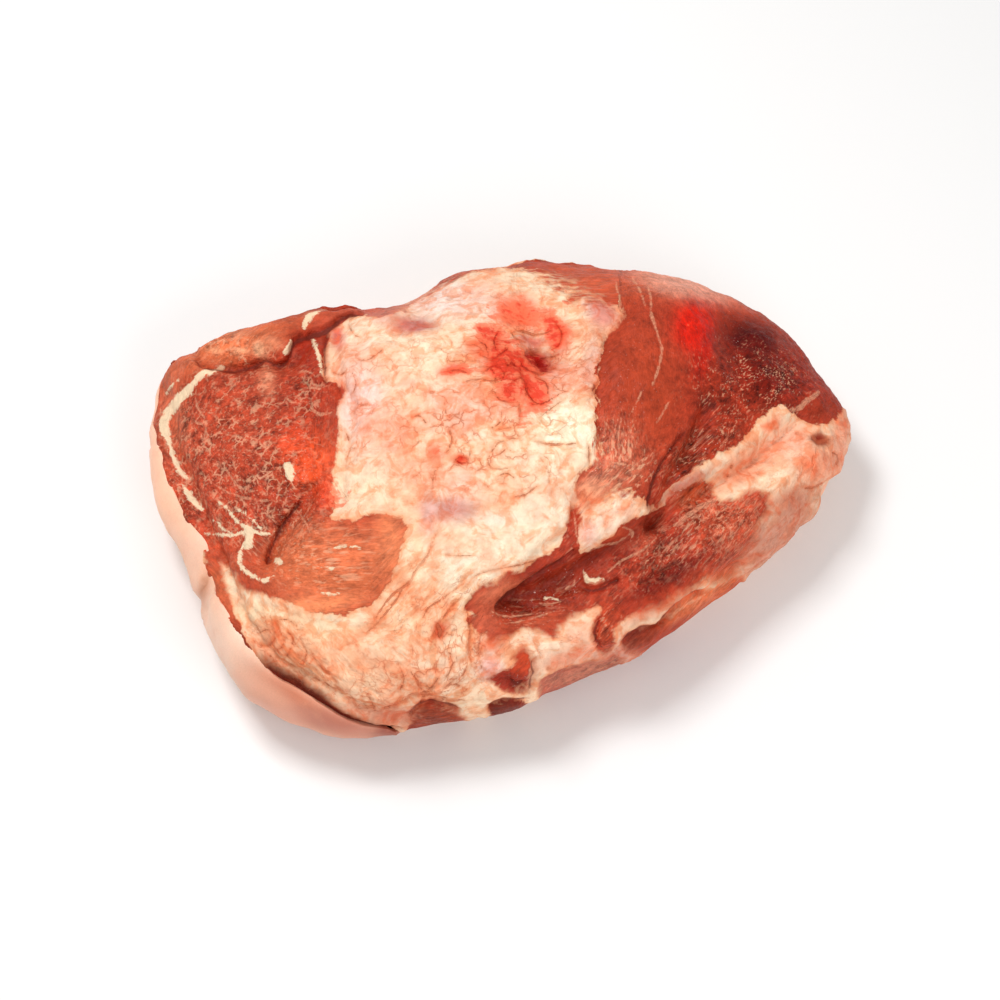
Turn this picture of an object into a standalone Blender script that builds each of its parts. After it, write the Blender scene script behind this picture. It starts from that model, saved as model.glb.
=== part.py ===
"""Skin-on pork shoulder, boned, lying on its rind with the meat side up.

Metres, +Z up. The joint is one solid. Its long side runs along X, its thick end (the neck end, with the
eye of the collar) is at -X and its narrow shank end at +X. The origin is at the middle of the underside.
Run it with: blender --background --python part.py
"""

import math

import bmesh
import bpy
import numpy as np
from mathutils import Vector, noise

MM = 0.001

# Driving sizes, in millimetres
TOP_HEIGHT = 97.0
BELT_HEIGHT = 36.0
PRESSED_FLAT = 3.0

# The belt is the widest ring of the joint, anticlockwise from the shank end, as x and y
BELT = [
    (176, 9),
    (179, 34),
    (165, 64),
    (143, 91),
    (117, 108),
    (80, 119),
    (48, 124),
    (12, 127),
    (-21, 120),
    (-46, 104),
    (-62, 95),
    (-86, 101),
    (-119, 85),
    (-154, 75),
    (-182, 60),
    (-187, 22),
    (-182, -12),
    (-166, -47),
    (-155, -78),
    (-138, -110),
    (-115, -129),
    (-73, -139),
    (-28, -133),
    (3, -123),
    (36, -109),
    (73, -92),
    (107, -64),
    (136, -40),
    (158, -19),
]

# How square the section is above and below the belt: 2 is an ellipse, more is boxier
SQUARE_ABOVE = 3.4
CROWN_ABOVE = 2.1
SQUARE_BELOW = 7.0
CROWN_BELOW = 2.0

# Broad rises and hollows of the upper face: middle x, y, half length, half width, turn in degrees, rise
SWELLS = {
    "collar_end_slopes_away": (-172, 8, 70, 110, 0, -22),
    "shank_end_is_thinner": (185, 8, 90, 90, 0, -26),
    "near_edge_is_lower": (60, -107, 150, 52, 24, -14),
    "crown_of_fat": (-18, 15, 80, 75, 10, 8),
    "collar_eye": (-128, 4, 30, 38, 0, 4),
    "round_muscle": (80, 48, 34, 62, -8, 9),
    "shank_muscle": (134, 44, 26, 34, -35, 4),
    "behind_round_muscle": (116, 62, 9, 34, 8, -6),
}

# The finer relief is placed as seen from the near side, so that it can run down the near wall too
EYE_ELEVATION = math.radians(64)
EYE_DISTANCE = 1220.0
EYE_TARGET = Vector((0, -11, 45))

# Lumps and hollows as seen: across, up, half length, half width, turn in degrees, rise
LUMPS = {
    "under_blade_muscle": (-87, -31, 32, 22, -4, 4),
    "bone_socket": (20, 80, 17, 15, -20, -10),
    "socket_throat": (20, 75, 6, 4, -15, -8),
    "knuckle": (160, 34, 20, 20, 30, 5),
    "open_pocket": (28, -46, 32, 8, 32, -11),
    "pocket_mouth": (4, -56, 9, 6, 20, -6),
    "pocket_end": (66, -24, 13, 7, 40, -4),
    "tongue_of_fat": (54, -8, 20, 8, 40, 4),
    "fat_over_pocket_mouth": (-4, -36, 18, 10, 30, 3),
    "lump_below_pocket": (42, -74, 22, 8, 14, 4),
    "loose_lean_nub": (6, -89, 10, 8, 60, 6),
    "lower_nub": (0, -107, 12, 6, 10, 5),
    "hollow_beside_nub": (-16, -98, 6, 12, 10, -4),
    "belly_fat_roll": (-50, -86, 44, 16, -8, 4),
    "brisket_fat": (-120, -64, 22, 12, -50, 3),
}

# Long folds with a flat back, as seen: points across, up along the fold, half width, rise
ROLLS = {
    "folded_flap": ([(-166, 68), (-155, 80), (-138, 80), (-119, 86), (-100, 97), (-82, 101)], 12, 7),
    "cut_edge_ridge": ([(52, -70), (83, -50), (112, -24), (136, -3), (152, 14)], 11, 5),
    "fat_below_eye": ([(-140, -38), (-128, -46), (-112, -56), (-88, -62), (-64, -62)], 6, 3),
}

# Cuts and seams between muscles, as seen: points across, up along the seam, half width, depth
SEAMS = {
    "under_the_flap": (
        [(-162, 70), (-146, 69), (-128, 69), (-114, 70), (-106, 80), (-98, 86), (-86, 90), (-73, 98)],
        4,
        8,
    ),
    "collar_to_fat": ([(-86, 92), (-90, 78), (-89, 62), (-83, 46), (-85, 20), (-88, -6)], 4, 5),
    "knife_slip": ([(-102, 2), (-109, -9), (-118, -20), (-125, -34)], 4, 7),
    "round_muscle_edge": ([(64, 97), (52, 80), (48, 52), (49, 30), (42, 12), (38, -4)], 4, 4),
    "lean_notch": ([(38, -2), (35, -16), (26, -26), (14, -36), (2, -50)], 4, 5),
    "deep_seam": ([(77, -17), (82, -4), (89, 12), (97, 24), (104, 42)], 4, 9),
    "lower_seam": ([(78, -16), (99, -2), (113, 7), (128, 16), (150, 36)], 4, 7),
    "rind_edge": (
        [(-180, 52), (-174, 24), (-159, -13), (-148, -40), (-136, -66), (-122, -86), (-86, -108), (-52, -119)],
        4,
        6,
    ),
    "rind_fold": ([(-149, -34), (-153, -44), (-157, -54), (-159, -66)], 3, 4),
    "lower_lean_strip": ([(30, -94), (60, -77), (92, -58), (118, -39)], 4, 4),
}

# Slow unevenness all over, as fractal noise
UNEVEN_RISE = 2.2
UNEVEN_SPAN = 34.0
UNEVEN_ROUGHNESS = 0.6
UNEVEN_LACUNARITY = 2.0
UNEVEN_OCTAVES = 3
SEED_OFFSET = Vector((3.7, 1.3, 8.1))

SPHERE_SUBDIVISIONS = 7
KEPT_FACES = 0.115
SPAN_STEPS = 12
SECTION_STEPS = 1440
MEAN_HALF_LENGTH = 150.0

# Where a face turns away from the eye, the finer relief fades out
RELIEF_STARTS = 0.02
RELIEF_FULL = 0.32


def clear_scene():
    for old in list(bpy.data.objects):
        bpy.data.objects.remove(old)


def smooth_line(points, closed=False):
    """A Catmull-Rom curve through the points, as an array of rows x, y."""
    knots = np.array(points, float)
    if closed:
        knots = np.vstack([knots[-1:], knots, knots[:2]])
    else:
        knots = np.vstack([2 * knots[0] - knots[1], knots, 2 * knots[-1] - knots[-2]])
    share = np.linspace(0, 1, SPAN_STEPS, endpoint=False)[:, None]
    spans = []
    for before, start, end, after in zip(knots, knots[1:], knots[2:], knots[3:]):
        spans.append(
            0.5
            * (
                2 * start
                + (end - before) * share
                + (2 * before - 5 * start + 4 * end - after) * share**2
                + (3 * start - before - 3 * end + after) * share**3
            )
        )
    spans.append(knots[-2:-1])
    return np.vstack(spans)


def distance_to(line, plan):
    """Shortest distance from each row of plan to the line, in millimetres."""
    nearest = np.full(len(plan), np.inf)
    for start, end in zip(line, line[1:]):
        along = end - start
        share = np.clip((plan - start) @ along / (along @ along), 0, 1)
        nearest = np.minimum(nearest, np.linalg.norm(plan - start - share[:, None] * along, axis=1))
    return nearest


def belt_radius(turn):
    """Distance from the middle to the belt in each direction, in millimetres."""
    ring = smooth_line(BELT, closed=True)[:-1]
    angle = np.arctan2(ring[:, 1], ring[:, 0])
    order = np.argsort(angle)
    return np.interp(turn, angle[order], np.hypot(*ring[order].T), period=2 * math.pi)


def section():
    """The upright section as reach and height, each from 0 to 1, spaced evenly over the skin it turns out."""
    steep = np.linspace(0, math.pi, SECTION_STEPS + 1)
    wide = np.sin(steep)
    tall = np.abs(np.cos(steep))
    above = steep <= math.pi / 2
    reach = np.where(above, wide ** (2 / SQUARE_ABOVE), wide ** (2 / SQUARE_BELOW))
    rise = np.where(above, tall ** (2 / CROWN_ABOVE), -(tall ** (2 / CROWN_BELOW)))
    run = np.hypot(np.diff(reach) * MEAN_HALF_LENGTH, np.diff(rise) * TOP_HEIGHT / 2)
    skin = np.concatenate([[0], np.cumsum(run * (reach[1:] + reach[:-1]) / 2)])
    return skin / skin[-1], reach, rise


def mound(places, x, y, half_length, half_width, turn):
    """1 at the middle of an oval mound and falling to 0 around it, at each row of places."""
    turn = math.radians(turn)
    off = places - (x, y)
    along = off @ (math.cos(turn), math.sin(turn)) / half_length
    aside = off @ (-math.sin(turn), math.cos(turn)) / half_width
    return np.exp(-(along**2 + aside**2))


def body_form(points):
    """The joint without its finer relief, over the unit sphere's points, in millimetres."""
    turn = np.arctan2(points[:, 1], points[:, 0])
    share = (1 - np.clip(points[:, 2], -1, 1)) / 2
    skin, reach, rise = section()
    reach = np.interp(share, skin, reach)
    rise = np.interp(share, skin, rise)
    radius = belt_radius(turn) * reach
    plan = np.column_stack([np.cos(turn) * radius, np.sin(turn) * radius])
    face = np.full(len(plan), TOP_HEIGHT)
    for *oval, lift in SWELLS.values():
        face += lift * mound(plan, *oval)
    above = BELT_HEIGHT + (face - BELT_HEIGHT) * rise
    below = BELT_HEIGHT * (1 + rise)
    return np.column_stack([plan, np.where(rise > 0, above, below)])


def seen(places, outward):
    """Where the eye sees each place, as across and up in millimetres, and how squarely it faces the eye."""
    back = Vector((0, -math.cos(EYE_ELEVATION), math.sin(EYE_ELEVATION)))
    up = back.cross((1, 0, 0))
    from_eye = places - (EYE_TARGET + back * EYE_DISTANCE)
    depth = -from_eye @ back
    across = from_eye[:, 0] * EYE_DISTANCE / depth
    upward = from_eye @ up * EYE_DISTANCE / depth
    facing = np.clip((outward @ back - RELIEF_STARTS) / (RELIEF_FULL - RELIEF_STARTS), 0, 1)
    return np.column_stack([across, upward]), facing * facing * (3 - 2 * facing)


def unevenness(places):
    """Fractal noise, mostly between -1 and 1, at each place."""
    spots = places / UNEVEN_SPAN + SEED_OFFSET
    octaves = (UNEVEN_ROUGHNESS, UNEVEN_LACUNARITY, UNEVEN_OCTAVES)
    return np.array([noise.fractal(Vector(spot), *octaves) for spot in spots])


def relief(places, outward):
    """How far the skin stands out at each place, in millimetres."""
    view, facing = seen(places, outward)
    rise = np.zeros(len(places))
    for *oval, lift in LUMPS.values():
        rise += lift * mound(view, *oval)
    for points, half_width, lift in ROLLS.values():
        rise += lift * np.exp(-((distance_to(smooth_line(points), view) / half_width) ** 4))
    for points, half_width, depth in SEAMS.values():
        rise -= depth * np.exp(-((distance_to(smooth_line(points), view) / half_width) ** 2))
    return rise * facing + UNEVEN_RISE * unevenness(places)


def raw_pork():
    """The finish of the whole joint: moist brownish-pink meat."""
    material = bpy.data.materials.new("raw_pork")
    material.use_nodes = True
    shader = material.node_tree.nodes["Principled BSDF"]
    shader.inputs["Base Color"].default_value = (0.62, 0.27, 0.20, 1)
    shader.inputs["Roughness"].default_value = 0.42
    shader.inputs["Metallic"].default_value = 0.0
    return material


def pork_shoulder():
    """One closed skin, shaped from a sphere and then thinned to the faces that its relief needs."""
    shell = bmesh.new()
    bmesh.ops.create_icosphere(shell, subdivisions=SPHERE_SUBDIVISIONS, radius=1)
    places = body_form(np.array([v.co for v in shell.verts]))
    for vertex, place in zip(shell.verts, places):
        vertex.co = place
    bmesh.ops.recalc_face_normals(shell, faces=shell.faces)
    shell.normal_update()
    outward = np.array([v.normal for v in shell.verts])
    places = places + outward * relief(places, outward)[:, None]
    # Its own weight presses the underside flat
    places[:, 2] = np.maximum(places[:, 2] - PRESSED_FLAT, 0)
    middle = (places.min(axis=0) + places.max(axis=0)) / 2
    places -= (middle[0], middle[1], 0)
    for vertex, place in zip(shell.verts, places * MM):
        vertex.co = place
    mesh = bpy.data.meshes.new("pork_shoulder")
    shell.to_mesh(mesh)
    shell.free()
    mesh.shade_smooth()
    mesh.materials.append(raw_pork())
    joint = bpy.data.objects.new("pork_shoulder", mesh)
    bpy.context.scene.collection.objects.link(joint)
    thinning = joint.modifiers.new("faces where the relief is", "DECIMATE")
    thinning.ratio = KEPT_FACES
    thinning.use_collapse_triangulate = True
    return joint


def main():
    clear_scene()
    pork_shoulder()


main()
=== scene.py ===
# %% [markdown]
# A raw pork shoulder, boned, with its skin on.
#
# It lies on its rind, so the view is of everything that the butcher cut: two big groups of lean muscle
# at the ends, a cap of fat between them with the socket that the bone left, and the pale skin that wraps
# round from below. The plan of this lesson is to take the plain solid as the form, give it a fine skin
# with real relief, paint where lean, fat, seams and blood lie, and let one material turn that paint into
# wet meat.

import math

import bmesh
import bpy
import numpy as np
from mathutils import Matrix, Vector, noise
from mathutils.bvhtree import BVHTree


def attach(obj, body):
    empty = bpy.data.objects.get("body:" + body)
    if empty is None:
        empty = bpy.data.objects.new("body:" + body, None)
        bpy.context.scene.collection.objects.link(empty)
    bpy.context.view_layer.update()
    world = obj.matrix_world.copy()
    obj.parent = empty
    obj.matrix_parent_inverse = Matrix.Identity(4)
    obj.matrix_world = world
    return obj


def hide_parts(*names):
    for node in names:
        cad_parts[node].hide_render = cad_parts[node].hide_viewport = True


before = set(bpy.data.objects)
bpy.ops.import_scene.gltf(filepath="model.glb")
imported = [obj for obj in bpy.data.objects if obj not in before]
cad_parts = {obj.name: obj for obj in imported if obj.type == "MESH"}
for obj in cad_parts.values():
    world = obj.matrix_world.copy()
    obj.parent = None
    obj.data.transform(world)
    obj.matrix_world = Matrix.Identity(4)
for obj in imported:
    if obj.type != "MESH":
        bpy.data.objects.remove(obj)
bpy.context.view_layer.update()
MM = 0.001

# %% [markdown]
# The camera comes first, because what follows is painted as the camera sees it. It looks down steeply,
# at 64 degrees, through a long lens from over a metre away, so that the joint hardly shows perspective.

# %% Camera
CAMERA_ELEVATION = math.radians(64)
CAMERA_DISTANCE = 1.22
CAMERA_TARGET = Vector((0, -0.011, 0.045))
LENS = 85
SENSOR = 36
FRAME_WIDTH = 1000

to_camera = Vector((0, -math.cos(CAMERA_ELEVATION), math.sin(CAMERA_ELEVATION)))
camera_data = bpy.data.cameras.new("camera")
camera_data.lens = LENS
camera_data.sensor_width = SENSOR
camera = bpy.data.objects.new("camera", camera_data)
bpy.context.scene.collection.objects.link(camera)
camera.location = CAMERA_TARGET + to_camera * CAMERA_DISTANCE
camera.rotation_euler = (math.pi / 2 - CAMERA_ELEVATION, 0, 0)
bpy.context.scene.camera = camera
print("camera at", tuple(camera.location))

# %% [markdown]
# A muscle's edge is easiest to describe as it is seen: so many pixels across the picture and so many
# down. This helper says where each point of the skin lands in the picture, which is 1000 pixels wide.
# One pixel is about half a millimetre of meat.

# %% Where a point lands in the picture
PIXEL = CAMERA_DISTANCE * SENSOR / LENS / FRAME_WIDTH
camera_up = to_camera.cross((1, 0, 0))


def picture_place(places):
    """Rows of x, y, z in metres as rows of pixels across and down."""
    off = np.asarray(places) - camera.location
    depth = -(off @ to_camera)
    per_metre = FRAME_WIDTH * LENS / SENSOR / depth
    return np.column_stack([
        FRAME_WIDTH / 2 + off[:, 0] * per_metre,
        FRAME_WIDTH / 2 - (off @ camera_up) * per_metre,
    ])


print("one pixel is", round(PIXEL / MM, 3), "mm; the target lands at", picture_place([CAMERA_TARGET])[0])

# %% [markdown]
# The far wall can't be seen from here. What the butcher's knife left at the top edge carries on down
# that wall, so a hidden point there is painted as if it lay as high as the edge. That stretches the
# muscles down the wall, as they really run.

# %% Carry the painting over the far edge
FAR_EDGE_HEIGHT = 84 * MM
# How squarely the skin faces the camera, from where it is lost to view to where it shows
LOST_TO_SHOWN = (-0.25, 0.05)
# How squarely it faces the far side, from the top to the far wall
TOP_TO_FAR_WALL = (0.05, 0.35)


def smooth_share(amount, low, high):
    """0 below low, 1 above high, and an even curve between them."""
    share = np.clip((amount - low) / (high - low), 0, 1)
    return share * share * (3 - 2 * share)


def painted_place(places, outward):
    """The picture place that each point takes its paint from."""
    hidden = 1 - smooth_share(outward @ to_camera, *LOST_TO_SHOWN)
    hidden = hidden * smooth_share(outward[:, 1], *TOP_TO_FAR_WALL)
    lifted = np.array(places)
    lifted[:, 2] += hidden * np.maximum(FAR_EDGE_HEIGHT - lifted[:, 2], 0)
    return picture_place(lifted)


print("the far wall is painted as if it lay", FAR_EDGE_HEIGHT / MM, "mm up")

# %% [markdown]
# Distances to drawn lines do most of the painting: how deep in a muscle a point lies, or how near a
# crease. A line is drawn through a few points and rounded with a Catmull-Rom curve, which passes through
# all of them.

# %% Rounded lines
SPAN_STEPS = 5
# How much of its width a line keeps at its ends, and how soon it has the rest
TAPERED_TO = 0.35
TAPER_POWER = 0.6


def rounded(points, closed=False):
    """A smooth line through the points, which may carry more numbers than two."""
    knots = np.array(points, float)
    if closed:
        knots = np.vstack([knots[-1:], knots, knots[:2]])
    else:
        knots = np.vstack([2 * knots[0] - knots[1], knots, 2 * knots[-1] - knots[-2]])
    share = np.linspace(0, 1, SPAN_STEPS, endpoint=False)[:, None]
    spans = []
    for before, start, end, after in zip(knots, knots[1:], knots[2:], knots[3:]):
        spans.append(0.5 * (
            2 * start
            + (end - before) * share
            + (2 * before - 5 * start + 4 * end - after) * share**2
            + (3 * start - before - 3 * end + after) * share**3
        ))
    spans.append(knots[-2:-1])
    return np.vstack(spans)


def widened(half_width, points):
    """A smooth line of this half width that tapers to its ends, unless its points have their own widths."""
    if len(points[0]) == 3:
        return rounded(points)
    line = rounded(points)
    along = np.linspace(0, 1, len(line))
    swelling = np.sin(math.pi * along) ** TAPER_POWER
    return np.column_stack([line, half_width * (TAPERED_TO + (1 - TAPERED_TO) * swelling)])


print("three points make a line of", len(rounded([(0, 0), (5, 8), (12, 9)])), "points")

# %% [markdown]
# The distance to a line is the least of the distances to its short straight spans. Only spots near the
# line are measured, which keeps this quick. A spot is inside an outline if a level ray from it crosses
# the outline an odd number of times, and then its distance to the outline is how deep it lies.

# %% How near a line and how deep in an outline
# How far from an outline and from a thin line it is still worth measuring, in pixels
REACH = 30.0
LINE_REACH = 9.0
TINY = 1e-9


def distance_to(line, spots, reach=REACH):
    """Distance from each spot to the line's edge in pixels, or reach if it is further off than that.

    A line has rows of pixels across, pixels down and half its width.
    """
    middles = line[:, :2]
    nearest = np.full(len(spots), reach)
    close = np.all((spots > middles.min(axis=0) - reach) & (spots < middles.max(axis=0) + reach), axis=1)
    near = spots[close]
    found = nearest[close]
    for (start, end), (width, next_width) in zip(zip(middles, middles[1:]), zip(line[:, 2], line[1:, 2])):
        along = end - start
        share = np.clip((near - start) @ along / max(along @ along, TINY), 0, 1)
        off = near - start - share[:, None] * along
        found = np.minimum(found, np.hypot(off[:, 0], off[:, 1]) - width - share * (next_width - width))
    nearest[close] = found
    return nearest


def inside(ring, spots):
    """Whether each spot lies inside the closed ring, by how often a level ray crosses it."""
    crossed = np.zeros(len(spots), bool)
    for (x0, y0), (x1, y1) in zip(ring[:, :2], ring[1:, :2]):
        if y0 == y1:
            continue
        between = (spots[:, 1] > min(y0, y1)) & (spots[:, 1] <= max(y0, y1))
        crossing = x0 + (spots[:, 1] - y0) * (x1 - x0) / (y1 - y0)
        crossed ^= between & (spots[:, 0] < crossing)
    return crossed


def depth_inside(outline, spots):
    """How far inside the outline each spot lies, in pixels, and less than 0 outside."""
    ring = rounded(outline, closed=True)
    edge = distance_to(np.column_stack([ring, 0 * ring[:, 0]]), spots)
    return np.where(inside(ring, spots), edge, -edge)

# %% [markdown]
# These are the muscles, each as an outline in the picture. Where a muscle reaches the edge of the joint,
# its outline runs on past that edge, so that the far wall gets painted too. Everything outside of them
# is fat.

# %% The muscles
MUSCLES = {
    "collar": [
        (136, 400), (140, 368), (152, 345), (200, 345), (240, 352), (280, 348), (300, 330), (322, 322),
        (328, 335), (324, 352), (323, 368), (327, 381), (344, 387), (341, 402), (338, 418), (337, 450),
        (334, 470), (332, 490), (333, 508), (330, 540), (310, 590), (285, 600), (262, 593), (246, 588),
        (236, 574), (223, 563), (211, 562), (201, 549), (189, 535), (176, 516), (164, 498), (153, 475),
        (144, 440),
    ],
    "collar_flap": [
        (140, 352), (165, 320), (200, 300), (250, 284), (300, 268), (345, 258), (378, 272), (384, 296),
        (366, 311),
        (352, 315), (340, 323), (326, 332), (310, 336), (297, 346), (292, 358), (278, 366), (262, 364),
        (250, 367), (230, 368), (206, 364), (185, 358), (165, 362),
    ],
    "under_blade": [
        (262, 580), (268, 562), (285, 545), (305, 532), (330, 522), (350, 520), (363, 516), (380, 514),
        (398, 517), (405, 525), (404, 540), (398, 556), (392, 575), (387, 587), (374, 603), (360, 610),
        (340, 615), (317, 612), (298, 606), (279, 598),
    ],
    "strip_beside_the_rind": [
        (213, 556), (219, 562), (224, 580), (229, 598), (236, 618), (246, 640), (258, 657), (276, 674),
        (300, 688), (322, 702), (345, 717), (336, 731), (307, 717), (281, 699), (257, 681), (240, 662),
        (226, 641), (213, 618), (202, 595), (196, 570),
    ],
    "shank_group": [
        (486, 268), (500, 262), (520, 250), (600, 240), (680, 250), (740, 268), (800, 305), (845, 350),
        (865, 385), (850, 403), (841, 412), (832, 420), (820, 425), (807, 423), (795, 416), (783, 405),
        (769, 411), (755, 425), (743, 440), (731, 448), (710, 459), (696, 469), (677, 483), (665, 490),
        (655, 505), (646, 500), (636, 494), (622, 491), (608, 494), (596, 499), (584, 500), (577, 492),
        (578, 476), (588, 467), (596, 462), (598, 450), (594, 431), (594, 416), (597, 403), (591, 391),
        (598, 378), (598, 362), (602, 347), (607, 336), (616, 327), (622, 312), (609, 303), (590, 303),
        (600, 297), (570, 298), (586, 291), (558, 291), (576, 285), (548, 284), (564, 278), (540, 277),
        (552, 272), (530, 270), (520, 267), (505, 268),
    ],
    "pocket_and_breast": [
        (573, 505), (568, 521), (562, 538), (548, 553), (537, 559), (529, 567), (514, 573), (495, 581),
        (480, 587), (468, 599), (466, 609), (476, 613), (466, 619), (471, 627), (483, 635), (495, 641),
        (510, 635), (525, 629), (543, 631), (552, 636), (558, 627), (571, 618), (587, 610), (600, 606),
        (596, 618), (593, 632), (598, 650), (607, 652), (614, 643), (613, 630), (620, 619), (637, 612),
        (656, 605), (675, 595), (692, 587), (705, 581), (718, 583), (732, 574), (738, 563), (751, 543),
        (761, 524), (768, 507), (768, 494), (757, 490), (744, 495), (731, 499), (716, 497), (714, 487),
        (705, 480), (692, 485), (676, 492), (664, 503), (650, 512), (642, 517), (629, 520), (615, 528),
        (606, 539), (590, 549), (580, 554), (581, 541), (579, 526),
    ],
    "edge_band": [
        (732, 575), (716, 585), (698, 590), (679, 600), (667, 616), (650, 626), (635, 632), (622, 640),
        (630, 652), (660, 647), (700, 627), (745, 590),
    ],
    "near_edge_strip": [
        (541, 681), (551, 671), (567, 665), (583, 661), (600, 660), (615, 655), (620, 665), (590, 682),
        (560, 697), (542, 702),
    ],
    "loose_nub": [
        (487, 679), (497, 672), (510, 668), (514, 663), (513, 655), (519, 648), (527, 654), (530, 668),
        (529, 684), (518, 692), (505, 690), (496, 684),
    ],
    "lower_nub": [(489, 712), (497, 704), (510, 702), (522, 703), (530, 710), (515, 726), (495, 726)],
    "belly_edge": [
        (409, 723), (420, 710), (430, 703), (445, 706), (455, 712), (465, 719), (468, 736), (410, 741),
    ],
    "far_rim": [
        (362, 298), (380, 292), (410, 275), (440, 262), (470, 252), (500, 246), (505, 264), (488, 268),
        (470, 273), (455, 280), (440, 288), (426, 297), (412, 304), (400, 311), (386, 316), (372, 316),
        (364, 308),
    ],
}
print(len(MUSCLES), "muscles show")

# %% [markdown]
# Fat also runs through the lean, as seams between muscles and as spots. Each is a line in the picture
# with half its width in pixels. The first one is the bright arc round the eye of the collar, whose width
# changes, so that each of its points has one. Threads are finer: strands of membrane, and small glints on
# the lean that are painted highlights. Two of the seams in the pocket are painted highlights too.

# %% Fat seams in the lean
FAT_SEAMS = {
    "collar_arc": [
        (0, [
            (222, 366, 1.0), (212, 370, 3.4), (203, 374, 3.0), (195, 382, 3.2), (188, 391, 3.8),
            (180, 399, 4.4), (172, 409, 4.8), (166, 420, 5.4), (165, 431, 4.6), (169, 441, 2.8),
            (173, 455, 2.2), (178, 468, 2.4), (185, 476, 1.8), (192, 478, 0.6),
        ]),
    ],
    "side_wedge": [(3.4, [(182, 485), (190, 496), (197, 505), (204, 512)])],
    "side_line": [(0.9, [(167, 394), (171, 387), (178, 380)])],
    "fork_level": [(1.6, [(205, 533), (222, 535), (237, 535), (250, 532), (264, 534), (276, 531)])],
    "fork_heart": [(4.4, [(246, 526), (250, 534), (250, 542), (246, 549)])],
    "fork_down": [(1.9, [(247, 540), (241, 552), (240, 564), (250, 575), (264, 581), (275, 575)])],
    "fork_up": [(1.3, [(250, 530), (238, 522), (228, 510), (219, 502)])],
    "fork": [(1.0, [(262, 530), (250, 518), (235, 507)])],
    "low_left_line": [(1.0, [(214, 520), (222, 528), (232, 533)])],
    "collar_crease_line": [(1.9, [(312, 338), (317, 350), (320, 362), (323, 377)])],
    "white_spot": [(5.0, [(287, 465), (290, 472), (292, 480)])],
    "small_spot": [(3.0, [(276, 560), (281, 562)])],
    "blade_streak_upper": [(0.9, [(313, 566), (325, 567), (335, 569)])],
    "blade_streak_lower": [(1.2, [(322, 593), (331, 594), (340, 594)])],
    "blade_streak": [(0.8, [(330, 548), (345, 546), (360, 548)])],
    # Painted highlights on the wet lean, not fat: a glint in the pocket and one along its fold
    "pocket_glint": [(1.9, [(545, 597), (551, 596), (557, 599)])],
    "glint_on_pocket_fold": [(1.9, [(585, 572), (587, 579), (594, 581), (603, 579)])],
    "flap_light": [(3.4, [(304, 328), (309, 318), (318, 311)])],
    "flap_corner": [(3.6, [(284, 354), (289, 347), (292, 341)])],
}

THREADS = {
    "crescent_line": [(2.4, [(786, 410), (797, 409), (806, 402), (815, 395), (819, 391)])],
    "breast_line": [(2.4, [(674, 526), (690, 514), (705, 504), (722, 497)])],
    "silver_edge": [(1.4, [(598, 297), (606, 305), (614, 314), (621, 322)])],
    "membrane": [
        (0.8, [(615, 280), (618, 292), (620, 305), (622, 315)]),
        (1.1, [(648, 284), (651, 302), (652, 316), (657, 332), (661, 346), (660, 362), (652, 388)]),
        (0.7, [(670, 400), (664, 411), (656, 424)]), (0.6, [(641, 392), (637, 402), (632, 412)]),
        (0.6, [(632, 276), (640, 292), (646, 306)]),
    ],
    "fan": [
        (0.9, [(598, 345), (590, 356), (582, 371)]), (0.9, [(601, 352), (594, 366), (587, 382)]),
        (0.8, [(600, 366), (596, 378), (592, 390)]),
    ],
    "fibre": [
        (0.8, [(604, 420), (612, 434), (614, 450)]), (0.8, [(622, 418), (618, 436), (620, 456)]),
        (0.7, [(634, 424), (628, 440), (630, 456)]), (0.8, [(602, 452), (612, 462), (626, 464)]),
    ],
    # Painted highlights: glints in the pocket and along its folds
    "pocket_shine": [(1.6, [(538, 600), (548, 603), (560, 601)])],
    "pocket_fold_left": [(1.4, [(565, 586), (572, 583), (574, 578)])],
    "pocket_fold_right": [(1.9, [(584, 571), (586, 579), (594, 583), (604, 580)])],
    "pocket_left_line": [(0.7, [(493, 612), (506, 616), (522, 614), (540, 612)])],
    "pocket_low_line": [(0.7, [(500, 624), (516, 622), (534, 618), (552, 612)])],
    "lobe": [
        (0.9, [(588, 552), (600, 546), (616, 543), (630, 534)]),
        (0.9, [(608, 572), (622, 560), (640, 552), (655, 540)]), (0.8, [(622, 527), (632, 531), (631, 541)]),
    ],
    "pocket_rim": [(0.8, [(500, 604), (512, 592), (526, 581), (544, 570), (562, 558), (572, 548)])],
    "spike_rim": [(0.7, [(573, 508), (576, 526), (578, 545)])],
    "collar": [
        (1.0, [(298, 374), (306, 371), (315, 376)]), (0.9, [(285, 396), (292, 402), (300, 403)]),
        (1.2, [(312, 400), (313, 410), (322, 414), (332, 412)]), (0.9, [(196, 398), (198, 408), (205, 418)]),
        (1.0, [(206, 424), (206, 440), (200, 455)]), (0.9, [(224, 434), (238, 437), (254, 442)]),
        (0.9, [(224, 466), (232, 478), (240, 488), (262, 492)]),
        (0.8, [(214, 484), (232, 494), (256, 500), (274, 500)]), (0.8, [(206, 494), (220, 502), (232, 512)]),
        (0.8, [(262, 508), (268, 516), (276, 522)]), (1.0, [(300, 390), (308, 388), (320, 389)]),
        (0.8, [(296, 510), (304, 520), (310, 532)]),
    ],
    "left_band": [(0.8, [(160, 408), (162, 430), (168, 452)])],
    "flap": [(1.2, [(222, 352), (232, 348), (242, 350)]), (0.9, [(226, 342), (240, 338), (250, 340)])],
    # Painted highlight: a glint on the wet blood
    "blood_glint": [(2.2, [(337, 490), (339, 496), (337, 499)])],
    "tip_line": [(0.9, [(756, 478), (770, 470), (786, 468)])],
    "edge_band_line": [(0.9, [(660, 622), (684, 606), (704, 594)])],
}
print(len(FAT_SEAMS), "seams and spots of fat, and threads in", len(THREADS), "places")
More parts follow.
